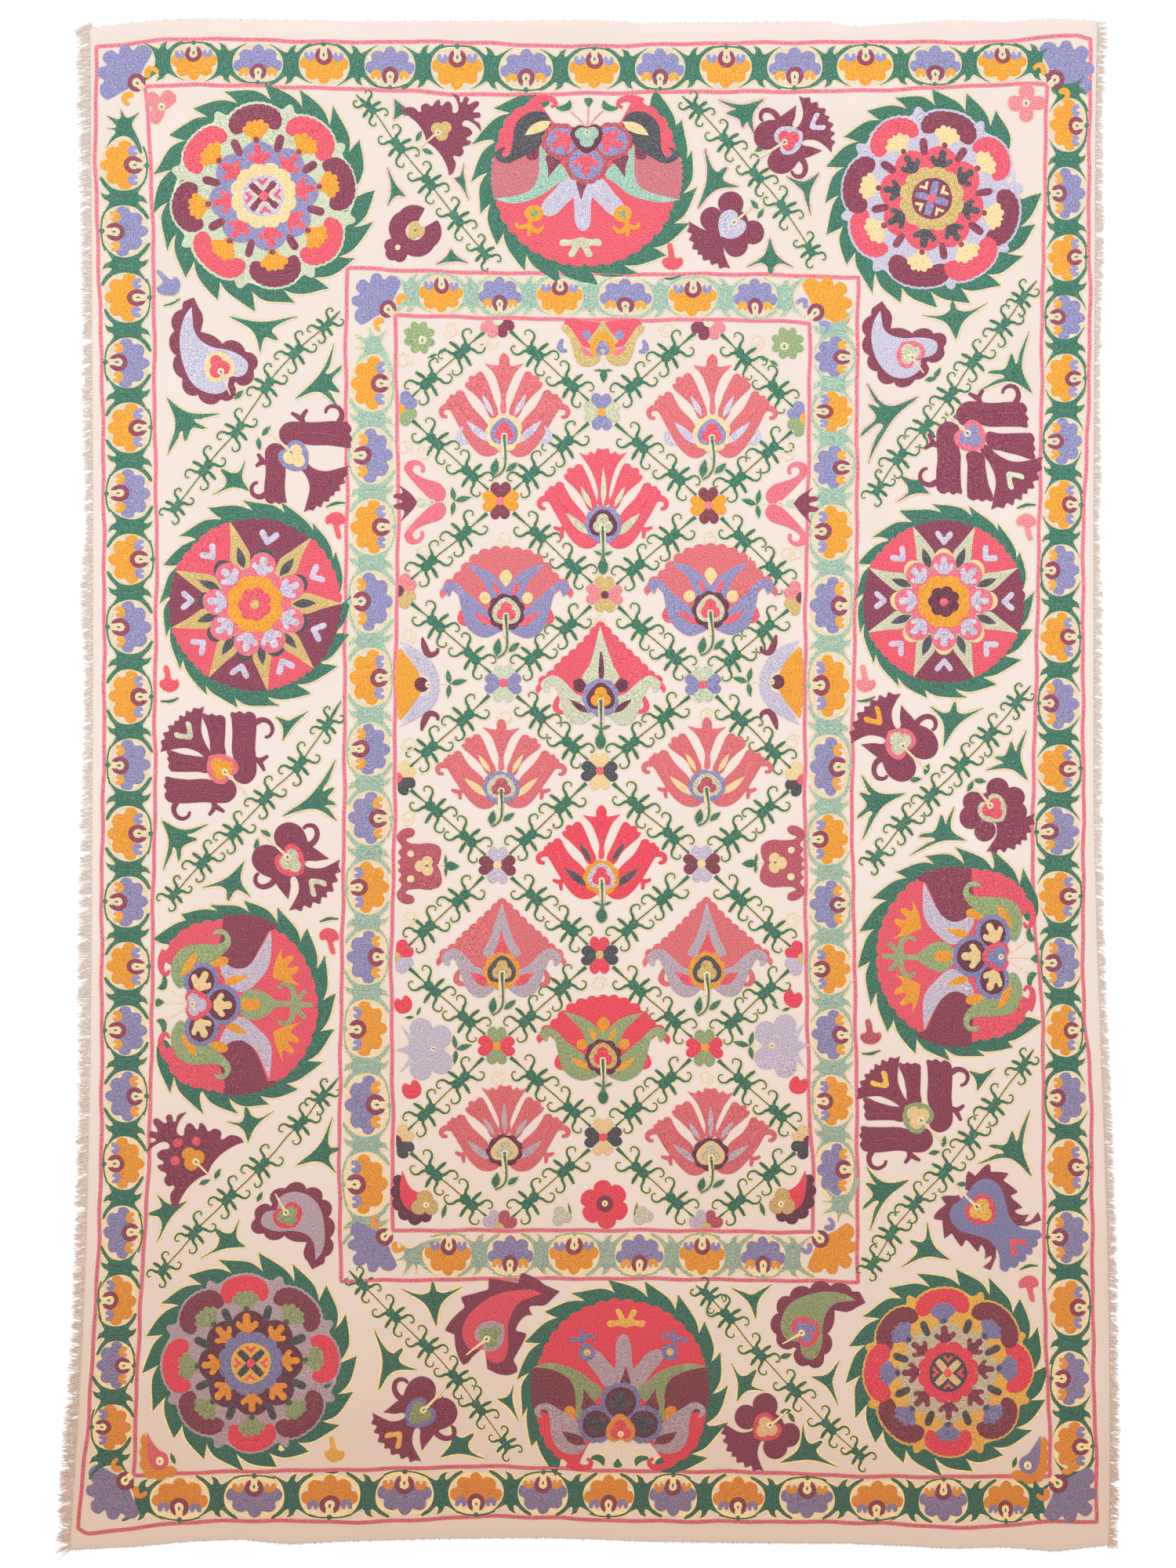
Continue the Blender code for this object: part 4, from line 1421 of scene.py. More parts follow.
# %% Loose leaves, buds and corner flowers
# Each leaf: x, y of its middle, its way in degrees.
LEAVES = [
    (-238, 910, 60), (-226, 889, -20), (240, 893, 30), (232, 814, 130), (241, 801, 60), (-490, 547, 45),
    (-452, 496, 50), (-462, 478, -85), (-453, -67, 150), (-465, -83, 80), (-520, -546, 60), (-539, -557, 20),
    (-461, -578, 60), (-172, -801, -30), (-204, -865, -80), (276, -801, 20), (276, -878, 10),
    (284, -887, -60), (489, 577, 60), (480, 568, 10), (517, 517, 30), (474, 21, 70), (458, 7, 5),
    (549, 5, -10), (536, -2, 60), (499, -501, 80), (485, -516, 5), (525, -560, 0),
]
for x, y, way in LEAVES:
    leaf_at = Place(x, y, way - 90)
    almond(Place(0, -9, on=leaf_at), "green", 18, 8, 1, halo=2.0)


def bud(x, y, thread, up=1):
    """A round cap on a tapered stem that leans away."""
    at = Place(x, y, 0 if up > 0 else 180)
    patch(at, thread, [(13, -4), (14, 3), (8, 10), (0, 12), (-9, 9), (-14, 2), (-12, -5), (-6, -4), (-3, -6),
                       (2, -24), (8, -24), (6, -8), (8, -5)], 2, halo=1.5)
    hook(at, "green", [(-13, 20), (0, 25), (13, 25)], [2, 5, 2], 1, 2)


for x, y, thread, up in (
    (-355, 370, "cochineal_coral", 1), (-588, 142, "cochineal_coral", -1),
    (-364, -213, "cochineal_coral", 1), (118, 735, "cochineal_coral", -1), (614, 368, "pink_soft", 1),
    (389, 143, "pink_soft", -1), (-356, -939, "yellow_deep", -1), (396, -353, "raspberry", -1),
    (617, -700, "rose_bright", 1),
):
    bud(x, y, thread, up)

# The blue bud under the first rosette has two lobes and a long arm.
BLUE_BUD = [(-2, -18), (10, -16), (17, -6), (16, 4), (10, 9), (4, 4), (-4, 10), (-13, 18), (-17, 16), (-8, 2),
            (-9, -2), (-16, -8), (-13, -15)]
at = Place(-590, 704)
patch(at, "indigo_pale", BLUE_BUD, 2, halo=1.5)
hook(at, "green", [(-6, -32), (5, -29), (16, -22)], [2, 3.5, 2], 1, 2)

# In the corners: flowers of three and four petals at the head, small paisleys at the foot.
for x, y, first, petals in ((-599, 951, 52, 3), (614, 956, 0, 4)):
    for n in range(petals):
        petal(Place(x, y, first - 90 + n * (360 / petals if petals == 4 else 92)), "pink_soft", 26, 21, 2,
              0.5, 1.5)
    seed(Place(x, y), 3, 5.5, 3)
for x, y, mirror, thread in ((-604, -948, False, "rose_bright"), (618, -953, True, "indigo_pale")):
    at = Place(x, y, mirror=mirror)
    rim = scalloped(smooth([(-18, 38), (-22, 20), (-22, 0), (-18, -16), (-4, -22), (14, -20), (26, -12)],
                           closed=False), 6, 5, False)
    fill("gold", at(np.concatenate([rim, smooth([(20, -8), (0, -6), (-8, 14), (-18, 38)], closed=False)])), 2)
    patch(at, thread, [(-15, 40, 1), (-16, 18), (-14, 0), (-6, -11), (6, -12), (14, -4), (12, 8), (2, 14),
                       (-6, 24)], 3)
    seed(Place(2, -1, on=at), 4, 6, 2.6)
    almond(Place(24, -6, 20, on=at), "green", 18, 7, 1, halo=2)
print("plum flowers, leaves and buds done")

# %% [markdown]
# ## The field
#
# Inside the innermost line, knotted vines cross to make a diamond lattice. A small flower of four
# two-lobed petals sits on every crossing, cut in half where it meets the border. Each vine between two
# flowers carries two knots.

# %% Lattice
def lattice_petal(at, thread):
    """A two-lobed petal along +y."""
    patch(at, thread, both_sides([(2.5, 4), (9, 9), (14, 15), (13, 22), (8, 26), (3, 25), (0, 21, 1)]), 2)


def lattice_flower(x, y, upright, sideways, core):
    """Four petals round a small disc."""
    for way, thread in ((0, upright), (180, upright), (90, sideways), (270, sideways)):
        lattice_petal(Place(x, y, way), thread)
    disc(Place(x, y), core, 6, 3)


def half_flower(x, y, way, first, second, core):
    """The half of a flower that the border leaves: two petals and half the centre, facing one way."""
    for turn, thread in ((42, first), (-42, second)):
        lattice_petal(Place(x, y, way - 90 + turn), thread)
    fill(core, Place(x, y, way - 90)(circle(8, 0, 180)), 3)


# Whole flowers: x, y, the upright petals, the sideways petals, the centre.
MIDDLE_COLUMN = [
    (18, 523, "indigo_pale", "sage", "gold"), (22, 267, "khaki", "pink_soft", "plum_dark"),
    (15, 19, "pale_yellow", "charcoal", "cochineal_coral"),
    (15, -239, "cochineal_crimson", "charcoal", "khaki"),
    (20, -494, "pale_yellow", "charcoal", "cochineal_crimson"),
]
SIDE_COLUMNS = [
    ((-124, 398), (168, 392), "wine", "gold", "rose_bright"),
    ((-120, 142), (160, 141), "mint", "indigo_pale", "cochineal_coral"),
    ((-128, -113), (158, -111), "lilac", "wine", "pale_yellow"),
    ((-129, -366), (162, -369), "moss", "cochineal_crimson", "gold"),
]
# Halves on the long sides, left and right: upper petal, lower petal, centre.
HALF_SIDES = [
    ((-266, 528), (303, 513), "indigo_pale", "moss", "gold"),
    ((-267, 272), (298, 262), "pink_soft", "khaki", "plum_dark"),
    ((-268, 10), (300, 8), "pale_yellow", "charcoal", "cochineal_coral"),
    ((-271, -241), (300, -243), "cochineal_crimson", "lilac", "khaki"),
    ((-270, -500), (309, -500), "pale_yellow", "charcoal", "plum_dark"),
]
# Halves on the head and foot sides: left petal, right petal, centre.
HALF_ENDS = [
    (-128, 652, 270, "plum", "pink_soft", "mint"), (168, 650, 270, "pink_soft", "plum", "mint"),
    (-125, -622, 90, "lilac", "raspberry", "khaki"), (164, -622, 90, "lilac", "raspberry", "khaki"),
]
for x, y, upright, sideways, core in MIDDLE_COLUMN:
    lattice_flower(x, y, upright, sideways, core)
for left, right, upright, sideways, core in SIDE_COLUMNS:
    lattice_flower(*left, upright, sideways, core)
    lattice_flower(*right, upright, sideways, core)
for left, right, upper, lower, core in HALF_SIDES:
    half_flower(*left, 0, upper, lower, core)
    half_flower(*right, 180, lower, upper, core)
for x, y, way, first, second, core in HALF_ENDS:
    half_flower(x, y, way, first, second, core)


def lattice_vine(start, end):
    """The vine between two flowers, with its two knots; it thickens where it reaches a flower."""
    start, end = complex(*start), complex(*end)
    way = (end - start) / abs(end - start)
    first, second = start + (end - start) * 0.36, start + (end - start) * 0.7
    turn = math.degrees(np.angle(way)) - 90

    def path(a, b):
        return a + (b - a) * np.linspace(0, 1, max(3, int(abs(b - a) / STEP)))

    line("green", path(start + way * 25, first - way * 8), [6, 4, 2, 3], 1, halo=2)
    line("stem_dark", path(first, second), 2.0, 1, halo=1.8)
    line("green", path(second + way * 8, end - way * 23), [3, 2, 3, 4], 1, halo=2)
    beetle(Place(first.real, first.imag, turn, 1.06))
    beetle(Place(second.real, second.imag, turn, 1.06))


CROSSINGS = [[HALF_SIDES[n][0], MIDDLE_COLUMN[n][:2], HALF_SIDES[n][1]] for n in range(5)]
HEAD, FOOT = [row[:2] for row in HALF_ENDS[:2]], [row[:2] for row in HALF_ENDS[2:]]
BETWEEN = [HEAD] + [row[:2] for row in SIDE_COLUMNS] + [FOOT]
vines = 0
for n, crossing in enumerate(CROSSINGS):
    for column, spot in enumerate(crossing):
        for side in (column - 1, column):
            if side in (0, 1):
                lattice_vine(BETWEEN[n][side], spot)
                lattice_vine(spot, BETWEEN[n + 1][side])
                vines += 2
print("lattice vines:", vines)

# %% [markdown]
# ## Palmettes of the field
#
# Each diamond holds a flower on a short stem, in one of three forms: a tulip of five long petals, a round
# fan with four blades, or a tall peak. In the middle column the stem ends in a drop, elsewhere it curls
# between two leaves. Form, colours and height come from one table, so that a row of the table is a flower.

# %% Parts of the field palmettes
def flower_heart(at, ring, core, leaf):
    """A scalloped ring, a heart in it, a trefoil, and the channel that the stem runs up."""
    disc(at, ring, 26, 6, 9, 3.5)
    patch(at, core, both_sides([(0, 22), (13, 14), (21, 0), (17, -13), (7, -17), (0, -14)]), 7)
    clover(Place(0, 0, on=at), leaf, 15.5, 8)
    disc(Place(0, -5, on=at), "cream_outline", 5.2, 9)
    hook(at, "cream_outline", [(0, -8), (0, -36)], [9, 8, 7], 9)


def field_stem(at, curls):
    """The stem: it curls to the left between two leaves, or ends in a drop under two tiny leaves."""
    disc(Place(0, -5, on=at), "green", 2.8, 10)
    if curls:
        hook(at, "green", [(0, -7), (2, -30), (1, -50), (-5, -60), (-14, -65)], [4.5, 3, 2.6, 2.4, 2], 10,
             2.2)
        almond(Place(-15, -63, -10, on=at), "green", 26, 12, 10, halo=2.0)
        almond(Place(3, -57, -50, on=at), "green", 22, 9, 10, halo=2.0)
    else:
        hook(at, "green", [(0, -7), (0, -42)], [4.5, 3, 2.6], 10, 2.2)
        for half in halves(at):
            almond(Place(1, -44, -66, on=half), "green", 14, 4.5, 10, halo=1.6)
        patch(at, "green", both_sides([(0, -42), (3, -50), (7.5, -60), (5, -69), (0, -72)]), 10, halo=2.0)


def small_v(at, thread):
    """The two-pronged spur at a palmette's side; its elbow is at zero, its arms go up-left and down."""
    hook(at, thread, [(-14, 6), (-5, 5), (0, 0), (-1, -9), (-5, -17)], [4, 7, 9, 7, 4], 2)


TULIP_PRONGS = [(3.5, 30), (3.5, 52), (8, 68), (15, 85), (28, 100, 1), (14, 97), (8, 97), (7, 107), (0, 115)]
TULIP_BELL = [(6.5, 29), (8, 48), (14, 68), (22, 86), (35, 105, 1), (23, 101), (18, 106), (12, 102),
              (8, 110), (0, 108)]
TULIP_INNER = [(8, 28), (14, 48), (22, 68), (28, 81), (33, 88), (40, 87), (43, 82), (49, 83), (53, 79),
               (52, 74), (57, 72), (55, 65), (43, 54), (29, 39), (18, 21)]
TULIP_OUTER = [(26, 14), (46, 37), (55, 52), (59, 60), (67, 61), (71, 55), (77, 56), (80, 50), (84, 48),
               (84, 38), (79, 32), (69, 14), (56, -8), (45, -23), (32, -33), (18, -34), (8, -27), (5, -17),
               (18, -12)]


def tulip_flower(at, petals, slits, ring, core, leaf, bell, spur):
    """bell: whether the middle petal is wide; spur: whether the side spurs are the petals' colour."""
    patch(at, petals, both_sides(TULIP_BELL if bell else TULIP_PRONGS), 2)
    if bell:
        almond(Place(0, 26, on=at), slits, 56, 8.5, 3)
    for half in halves(at):
        patch(half, petals, TULIP_INNER, 2)
        patch(half, petals, TULIP_OUTER, 2)
        hook(half, petals, [(80, 38), (88, 37), (93, 31), (90, 24), (84, 23)], [9, 8, 7, 6, 4], 2)
        almond(Place(15, 24, -29, on=half), slits, 36, 8.5, 3)
        almond(Place(20, -16, -47, on=half), slits, 48, 12, 3)
        if spur:
            hook(half, petals, [(58, -4), (63, -7), (72, -4)], [5, 6, 4], 2)
            hook(half, petals, [(58, -4), (60, -10), (59, -20)], [5, 6, 4], 2)
        else:
            small_v(Place(66, -8, 180, mirror=True, on=half), slits)
    flower_heart(at, ring, core, leaf)


FAN_HORN = [(90, 41), (78, 45), (67, 38), (57, 27), (42, 15), (25, 0), (10, -12), (6, -25), (16, -32),
            (32, -36), (49, -28), (59, -15), (65, 4), (70, 24), (76, 33), (80, 30), (83, 23), (88, 27),
            (93, 35)]
FAN_BLADE = [(0, 36, 1), (8, 44), (21, 56), (38, 64), (58, 69, 1), (44, 55), (32, 42), (25, 27), (20, 14),
             (0, 12)]


def fan_flower(at, petals, slits, ring, core, leaf, blades, dots):
    """A round scalloped fan with two horns and two blades."""
    arc = smooth(both_sides([(94, 20), (88, 38), (72, 50), (60, 64), (45, 78), (24, 87), (0, 90)]),
                 closed=False)
    low = smooth([(-80, 34), (-45, 4), (0, -8), (45, 4), (80, 34)], closed=False)
    fill(petals, at(np.concatenate([scalloped(arc, 15, 6, False), low])), 2)
    for half in halves(at):
        patch(half, blades, FAN_HORN, 4)
        patch(half, blades, FAN_BLADE, 3)
        almond(Place(9, 24, -24, on=half), slits, 23, 9, 4)
        almond(Place(19, -21, -54, on=half), slits, 36, 10, 5)
        disc(Place(31, 20, on=half), dots, 8.5, 5)
        small_v(Place(66, -10, 180, mirror=True, on=half), "cochineal_coral" if slits != "gold" else petals)
    patch(at, dots, both_sides([(0, 36, 1), (6, 44), (9, 52), (0, 61)]), 5)
    flower_heart(at, ring, core, leaf)


PEAK_HORN = [(88, 20), (81, 28), (72, 32), (62, 29), (51, 20), (38, 7), (26, 2), (8, -12), (8, -22),
             (15, -31), (28, -38), (43, -35), (54, -22), (60, -5), (66, 9), (71, 17), (76, 15), (76, 8),
             (82, 8)]


def peak_flower(at, petals, slits, ring, core, leaf, blades, wedge):
    """wedge: whether the peak's slit is a wide wedge; if not, it is narrow, with two bumps beside it."""
    edge = smooth(both_sides([(92, 6), (87, 25), (72, 36), (58, 49), (42, 63), (28, 77), (14, 91),
                              (0, 103)]), closed=False)
    low = smooth([(-80, 22), (-40, 0), (0, -8), (40, 0), (80, 22)], closed=False)
    fill(petals, at(np.concatenate([scalloped(edge, 19, 4.5, False), low])), 2)
    patch(at, blades, both_sides([(0, 101, 1), (8, 76), (17, 48), (25, 22)]), 3)
    if wedge:
        patch(at, slits, both_sides([(0, 60, 1), (6, 40), (11, 22)]), 4)
    else:
        petal(Place(0, 66, 180, on=at), slits, 42, 9, 4, 0.3)
    for half in halves(at):
        patch(half, blades, PEAK_HORN, 4)
        almond(Place(17, -22, -56, on=half), slits, 36, 10 if not wedge else 15, 5)
        if not wedge:
            disc(Place(31, 18, on=half), slits, 9, 5, 5, 2)
        small_v(Place(66, -14, 180, mirror=True, on=half), petals)
    flower_heart(at, ring, core, leaf)


# %% The fourteen palmettes
# Each: form, places (x, y) of the heart, height, whether its stem curls, petals, slits, ring, heart,
# clover, and the two options that its form takes.
FIELD_FLOWERS = [
    (tulip_flower, [(-119, 494), (173, 492)], 0.97, True, "rose", "lilac", "pale_yellow", "indigo_pale",
     "cochineal_coral", False, False),
    (tulip_flower, [(20, 365)], 0.97, False, "cochineal_coral", "sage", "indigo_pale", "plum_dark", "sage",
     True, True),
    (fan_flower, [(-116, 242), (171, 245)], 0.98, True, "rose", "cochineal_coral", "plum_dark", "sage",
     "cochineal_coral", "indigo_pale", "pale_yellow"),
    (peak_flower, [(17, 122)], 0.99, False, "cochineal_coral", "plum_dark", "indigo_pale", "plum_dark",
     "gold", "mint", False),
    (tulip_flower, [(-123, -4), (166, -2)], 0.84, True, "rose", "pale_yellow", "indigo_pale", "sage",
     "raspberry", False, True),
    (tulip_flower, [(18, -130)], 0.88, False, "cochineal_crimson", "charcoal", "gold", "lilac",
     "cochineal_crimson", False, True),
    (peak_flower, [(-122, -261), (166, -261)], 0.96, True, "rose", "cochineal_coral", "gold", "charcoal",
     "khaki", "lilac_grey", True),
    (fan_flower, [(20, -382)], 0.92, False, "cochineal_crimson", "gold", "plum_dark", "khaki",
     "cochineal_crimson", "moss", "gold"),
    (tulip_flower, [(-118, -513), (171, -518)], 0.84, True, "rose", "lilac_grey", "plum_dark", "pale_yellow",
     "sage", True, True),
]
for form, places, tall, curls, petals, slits, ring, core, leaf, first, second in FIELD_FLOWERS:
    for x, y in places:
        at = Place(x, y, wide=0.96, tall=tall)
        form(at, petals, slits, ring, core, leaf, first, second)
        field_stem(at, curls)
print("field palmettes:", sum(len(row[1]) for row in FIELD_FLOWERS))

# %% [markdown]
# ## Motifs along the field's edge
#
# Half diamonds are left along the sides. Each holds a motif that faces the border, with three leaves on
# its stem, and each has its twin on the other side. So each is drawn facing +y and turned left or right.

# %% Edge motifs
def leaf_trio(at, drop):
    """Three leaves on a short stem; with drop, the middle one is a fat drop between two small ones."""
    slim, fat = ((15, 24, 9), (-100, 21, 8), (100, 21, 8)), ((0, 22, 13), (-92, 15, 5), (92, 15, 5))
    for way, long, wide in fat if drop else slim:
        almond(Place(0, 0 if way else 3, 180 + way, on=at), "green", long, wide, 1, halo=2.0)
    hook(at, "cream_outline", [(0, 2), (0, 24)], [2, 1.6], 1)


def paisley_pair(at):
    """Two paisleys that curl apart, with a petal and a tulip between them."""
    for half in halves(at):
        body = [(2, -1, 1), (1, -14), (12, -20), (25, -12), (31, 5), (35, 16), (44, 27), (52, 24), (49, 16),
                (42, 16), (42, 11), (52, 12), (59, 22), (57, 34), (47, 39), (38, 34), (26, 24), (12, 10)]
        patch(half, "rose_bright", body, 2)
        scroll_line(Place(70, 10, on=half))
    petal(Place(0, 4, on=at), "mint", 20, 13, 2, 0.3)
    tulip(Place(0, 22, on=at), "plum", 3, 0.85)
    seed(at, 3)


def winged_half(at):
    """A gold fan on two lilac wings."""
    for half in halves(at):
        wing = [(0, -16), (20, -13), (38, -1), (51, 18), (60, 40, 1), (53, 36), (36, 25), (17, 12), (10, -1),
                (0, -4)]
        patch(half, "lilac", wing, 2)
        hook(half, "plum", [(66, 8), (50, 3), (42, -3), (45, -13), (51, -14)], [3, 9, 10, 7, 4], 2)
    fan = scalloped(smooth(both_sides([(50, 38), (26, 42), (0, 43)]), closed=False), 7, 3, False)
    low = smooth(both_sides([(-50, 38), (-34, 25), (-14, 12), (0, 8)]), closed=False)
    fill("gold", at(np.concatenate([fan, low])), 3)
    disc(Place(0, 9, on=at), "plum_dark", 10, 4)
    seed(at, 5)


def curled_cap(at):
    """A raspberry cap whose two ends curl outwards."""
    half = [(0, 0, 1), (12, -5), (26, -4), (33, 10), (32, 28), (36, 44), (42, 34), (50, 32), (53, 42),
            (47, 54), (38, 57), (26, 50), (20, 55), (12, 51), (6, 56), (0, 52)]
    patch(at, "raspberry", both_sides(half), 2)
    clover(Place(0, 18, on=at), "pale_yellow", 15, 3)
    pupil(Place(0, 16, on=at), 3, 4)
    for side in (-18, 18):
        disc(Place(side, 38, on=at), "cream_outline", 5, 3)


def lilac_flower(at):
    """Four lilac discs and a forked tip."""
    for px, py in ((28, 17), (18, -10), (-18, -10), (-28, 17)):
        disc(Place(px, py, on=at), "lilac", 16, 2)
    disc(at, "lilac", 15, 2)
    patch(at, "lilac", both_sides([(12, 10), (18, 28), (33, 46, 1), (18, 38), (8, 36), (0, 54, 1)]), 2)
    seed(at, 3)


def scroll_line(at, size=1.0):
    """A faint curl of cream silk, all but the colour of the cloth."""
    turn = np.radians(np.linspace(0, 470, 26))
    line("cream_outline", at((12 - turn * 0.95) * size * np.exp(1j * turn)), 2.4, 1)


# Each edge motif: what it is, how the leaves look, then the left one's root and the right one's.
for motif, drop, left, right in (
    (paisley_pair, False, (-220, 397), (268, 394)), (winged_half, False, (-226, 141), (256, 144)),
    (curled_cap, True, (-212, -114), (246, -110)), (lilac_flower, False, (-218, -371), (258, -366)),
):
    for (x, y), way in ((left, 90), (right, -90)):
        at = Place(x, y, way, mirror=way < 0)
        motif(at)
        leaf_trio(Place(0, -32 if motif is not curled_cap else -12, on=at), drop)

for x, y in ((-260, -309), (286, -301), (-248, -428), (294, -422)):
    at = Place(x, y, 20 if x < 0 else -20)
    patch(at, "cochineal_crimson", both_sides([(0, -12), (10, -8), (13, 3), (7, 12), (0, 7, 1)]), 2)
    leaves = Place(x + (18 if x < 0 else -18), y - 16 if y > -400 else y + 18, 25 if x < 0 else -25)
    almond(Place(-2, 0, 70, on=leaves), "green", 14, 5, 1, halo=1.8)
    almond(Place(2, 0, -45, on=leaves), "green", 14, 5, 1, halo=1.8)

# Corners of the field: a sage flower at the head, and one of crimson, plum and khaki at the foot.
for x, y, out in ((-238, 628, -1), (279, 619, 1)):
    disc(Place(x, y), "moss", 19, 2, 8, 9)
    seed(Place(x - out * 4, y - 4), 3, 6, 3)
    for way in (35, 200):
        almond(Place(x - out * 26, y - 24, way * -out - 90), "green", 15, 6, 1, halo=1.8)
for x, y, out in ((-240, -588, -1), (281, -586, 1)):
    at = Place(x, y, mirror=out > 0)
    for px, py, r in ((-27, 32, 8), (-29, 17, 9), (-26, 1, 10), (-18, -13, 10), (-4, -20, 10), (10, -17, 9)):
        disc(Place(px, py, on=at), "plum_dark", r, 2)
    patch(at, "cochineal_crimson", [(-22, 46, 1), (-24, 20), (-18, -2), (0, -12), (14, -6), (8, 12),
                                    (-10, 24)], 3)
    clover(Place(10, 0, on=at), "khaki", 20, 4)
    seed(Place(12, -2, on=at), 5)
    almond(Place(34, -20, -20, on=at), "green", 22, 7, 1, halo=2)

# The half palmette at the middle of the head side, its bud, and the red flower at the foot.
at = Place(20, 612, size=0.72)
patch(at, "cochineal_coral", [(-74, 52), (-30, 54), (0, 50), (30, 54), (74, 52), (50, 10), (0, 0),
                              (-50, 10)], 2)
patch(at, "khaki", both_sides([(0, 54, 1), (14, 34), (28, 10)]), 3)
for half in halves(at):
    patch(half, "khaki", [(82, 42), (70, 46), (52, 22), (36, 0), (8, -12), (8, -24), (24, -34), (46, -30),
                          (58, -8), (66, 20)], 3)
    almond(Place(20, -16, -54, on=half), "rose_bright", 34, 12, 4)
    disc(Place(32, 26, on=half), "indigo_pale", 9, 4)
    small_v(Place(84, 0, 180, mirror=True, on=half), "indigo_pale")
patch(at, "gold", both_sides([(0, 34), (18, 18), (26, -6), (12, -12), (0, 6)]), 5)
clover(at, "indigo_pale", 16, 6)
seed(Place(0, -5, on=at), 7)
leaf_trio(Place(20, 580, size=0.9), True)
at = Place(22, -588)
for n in range(6):
    petal(Place(turn=60 * n + 8, on=at), "cochineal_crimson", 34, 27, 2, 0.6)
disc(at, "wine", 12, 3)
seed(at, 4)
for x in (-39, 76):
    clover(Place(x, -605, 20), "mint", 15, 2)
    almond(Place(x + (14 if x < 0 else -12), -606, 10 if x < 0 else -10), "green", 22, 4, 1, halo=1.8)

# Faint curls fill what is left.
for x, y in ((-194, 639), (-136, 622), (-259, 595), (-260, 473), (-249, 356), (-120, 346), (171, 344),
             (110, 639), (235, 622), (291, 326), (-254, 209), (-254, 58), (286, 60), (-255, -46),
             (-252, -186), (286, -190), (15, -279), (-128, -412), (164, -411), (18, 226), (-118, 96),
             (165, 96)):
    scroll_line(Place(x, y, (x * 7 + y * 3) % 360), 0.95)
print("edge motifs and corners done")

# %% All the silk, thread by thread
total = 0
for thread in sorted(WORK):
    piece, count = embroider(thread)
    total += count
    print(f"{piece.name:28s} {count:7d} triangles")
print("all silk:", total, "triangles")

# %% [markdown]
# ## The cotton ground

# %% The sheet
def cotton(name, fineness, detail, colours, roughness, woven=False):
    """Unbleached cotton, mottled between two colours, and yellowed and darkened towards the foot by painted
    shade of the light falling off.
    """
    material, tree = new_material(name)
    place = node(tree, "ShaderNodeTexCoord")
    clouds = node(tree, "ShaderNodeTexNoise", [("Vector", place, "Object")], in_Scale=fineness,
                  in_Detail=detail)
    base = node(tree, "ShaderNodeMix", [("Factor", clouds, "Fac")], data_type="RGBA",
                in_6=linear(colours[0]), in_7=linear(colours[1]))
    # Painted shade towards the foot of the cloth, together with yellowing.
    shade = shaded_and_aged(tree, place, base, "Result", start=0.1, reach=1.05, bend=1.4, worst=FOOT_SHADE_AND_AGE_COTTON)
    shader = node(tree, "ShaderNodeBsdfPrincipled", [("Base Color", shade, 2)], in_Roughness=roughness,
                  in_IOR=1.5)
    if woven:
        weave = node(tree, "ShaderNodeTexNoise", [("Vector", place, "Object")], in_Scale=600.0, in_Detail=2.0)
        relief = node(tree, "ShaderNodeBump", [("Height", weave, "Fac")], in_Strength=0.35,
                      in_Distance=0.0006)
        tree.links.new(relief.outputs[0], shader.inputs["Normal"])
    node(tree, "ShaderNodeOutputMaterial", [("Surface", shader, 0)])
    return material


def make_sheet(cells_across=96, cells_along=144):
    """The cotton cloth: a grid drawn out to the cloth's edges and thickened upwards."""
    grid = bmesh.new()
    bmesh.ops.create_grid(grid, x_segments=cells_across, y_segments=cells_along, size=0.5)
    for corner in grid.verts:
        x, y = sheet_point(corner.co.x + 0.5, corner.co.y + 0.5)
        corner.co = (x * MM, y * MM, float(lift(x, y)) * MM)
    mesh = bpy.data.meshes.new("cotton_cloth")
    grid.to_mesh(mesh)
    grid.free()
    mesh.shade_smooth()
    mesh.materials.append(cotton("cotton_plain_weave", 9.0, 5.0, ("EBDCD4", "E4D3C7"), 0.92, woven=True))
    sheet = add("cotton_cloth", mesh)
    body = sheet.modifiers.new("thickness", "SOLIDIFY")
    body.thickness, body.offset = CLOTH_THICKNESS * MM, 1
    # Weighted normals keep the shading even up to the cut edge.
    sheet.modifiers.new("even_normals", "WEIGHTED_NORMAL").weight = 100
    return sheet


sheet = make_sheet()
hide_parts("ground_cloth")
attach(sheet, "root")

# %% [markdown]
# ## Frayed edges
#
# Down both long sides the weft threads stand free as a short fringe. They were spun together, so they
# hang in tufts that lean and wave alike. Head and foot were only torn, and show a fuzz of broken ends.

# %% Loose threads
LOOSE = cotton("cotton_loose_threads", 260.0, 2.0, ("E2CFC2", "F2E6DE"), 0.9)


def strands(name, paths, thick):
    """Thin threads as one mesh: each path is a list of (x, y, z) in mm, and tapers to its end."""
    verts, faces = [], []
    for path in paths:
        path, start = np.array(path), len(verts)
        ahead = np.gradient(path, axis=0)
        across = np.stack([ahead[:, 1], -ahead[:, 0], 0 * ahead[:, 0]], 1)
        across /= np.maximum(np.linalg.norm(across, axis=1, keepdims=True), 1e-9)
        for n, (spot, side) in enumerate(zip(path, across)):
            r = thick * (1 - 0.6 * n / (len(path) - 1))
            verts += [spot + side * r, spot - side * r, spot + (0, 0, 1.4 * r)]
        for n in range(len(path) - 1):
            a, b = start + 3 * n, start + 3 * n + 3
            for i, j in ((0, 2), (2, 1), (1, 0)):
                faces += [(a + i, a + j, b + j), (a + i, b + j, b + i)]
        last = start + 3 * len(path) - 3
        faces += [(start, start + 1, start + 2), (last, last + 2, last + 1)]
    mesh = bpy.data.meshes.new(name)
    mesh.from_pydata([[float(c) * MM for c in v] for v in verts], [], faces)
    mesh.materials.append(LOOSE)
    piece = add(name, mesh)
    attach(piece, "root")
    return piece


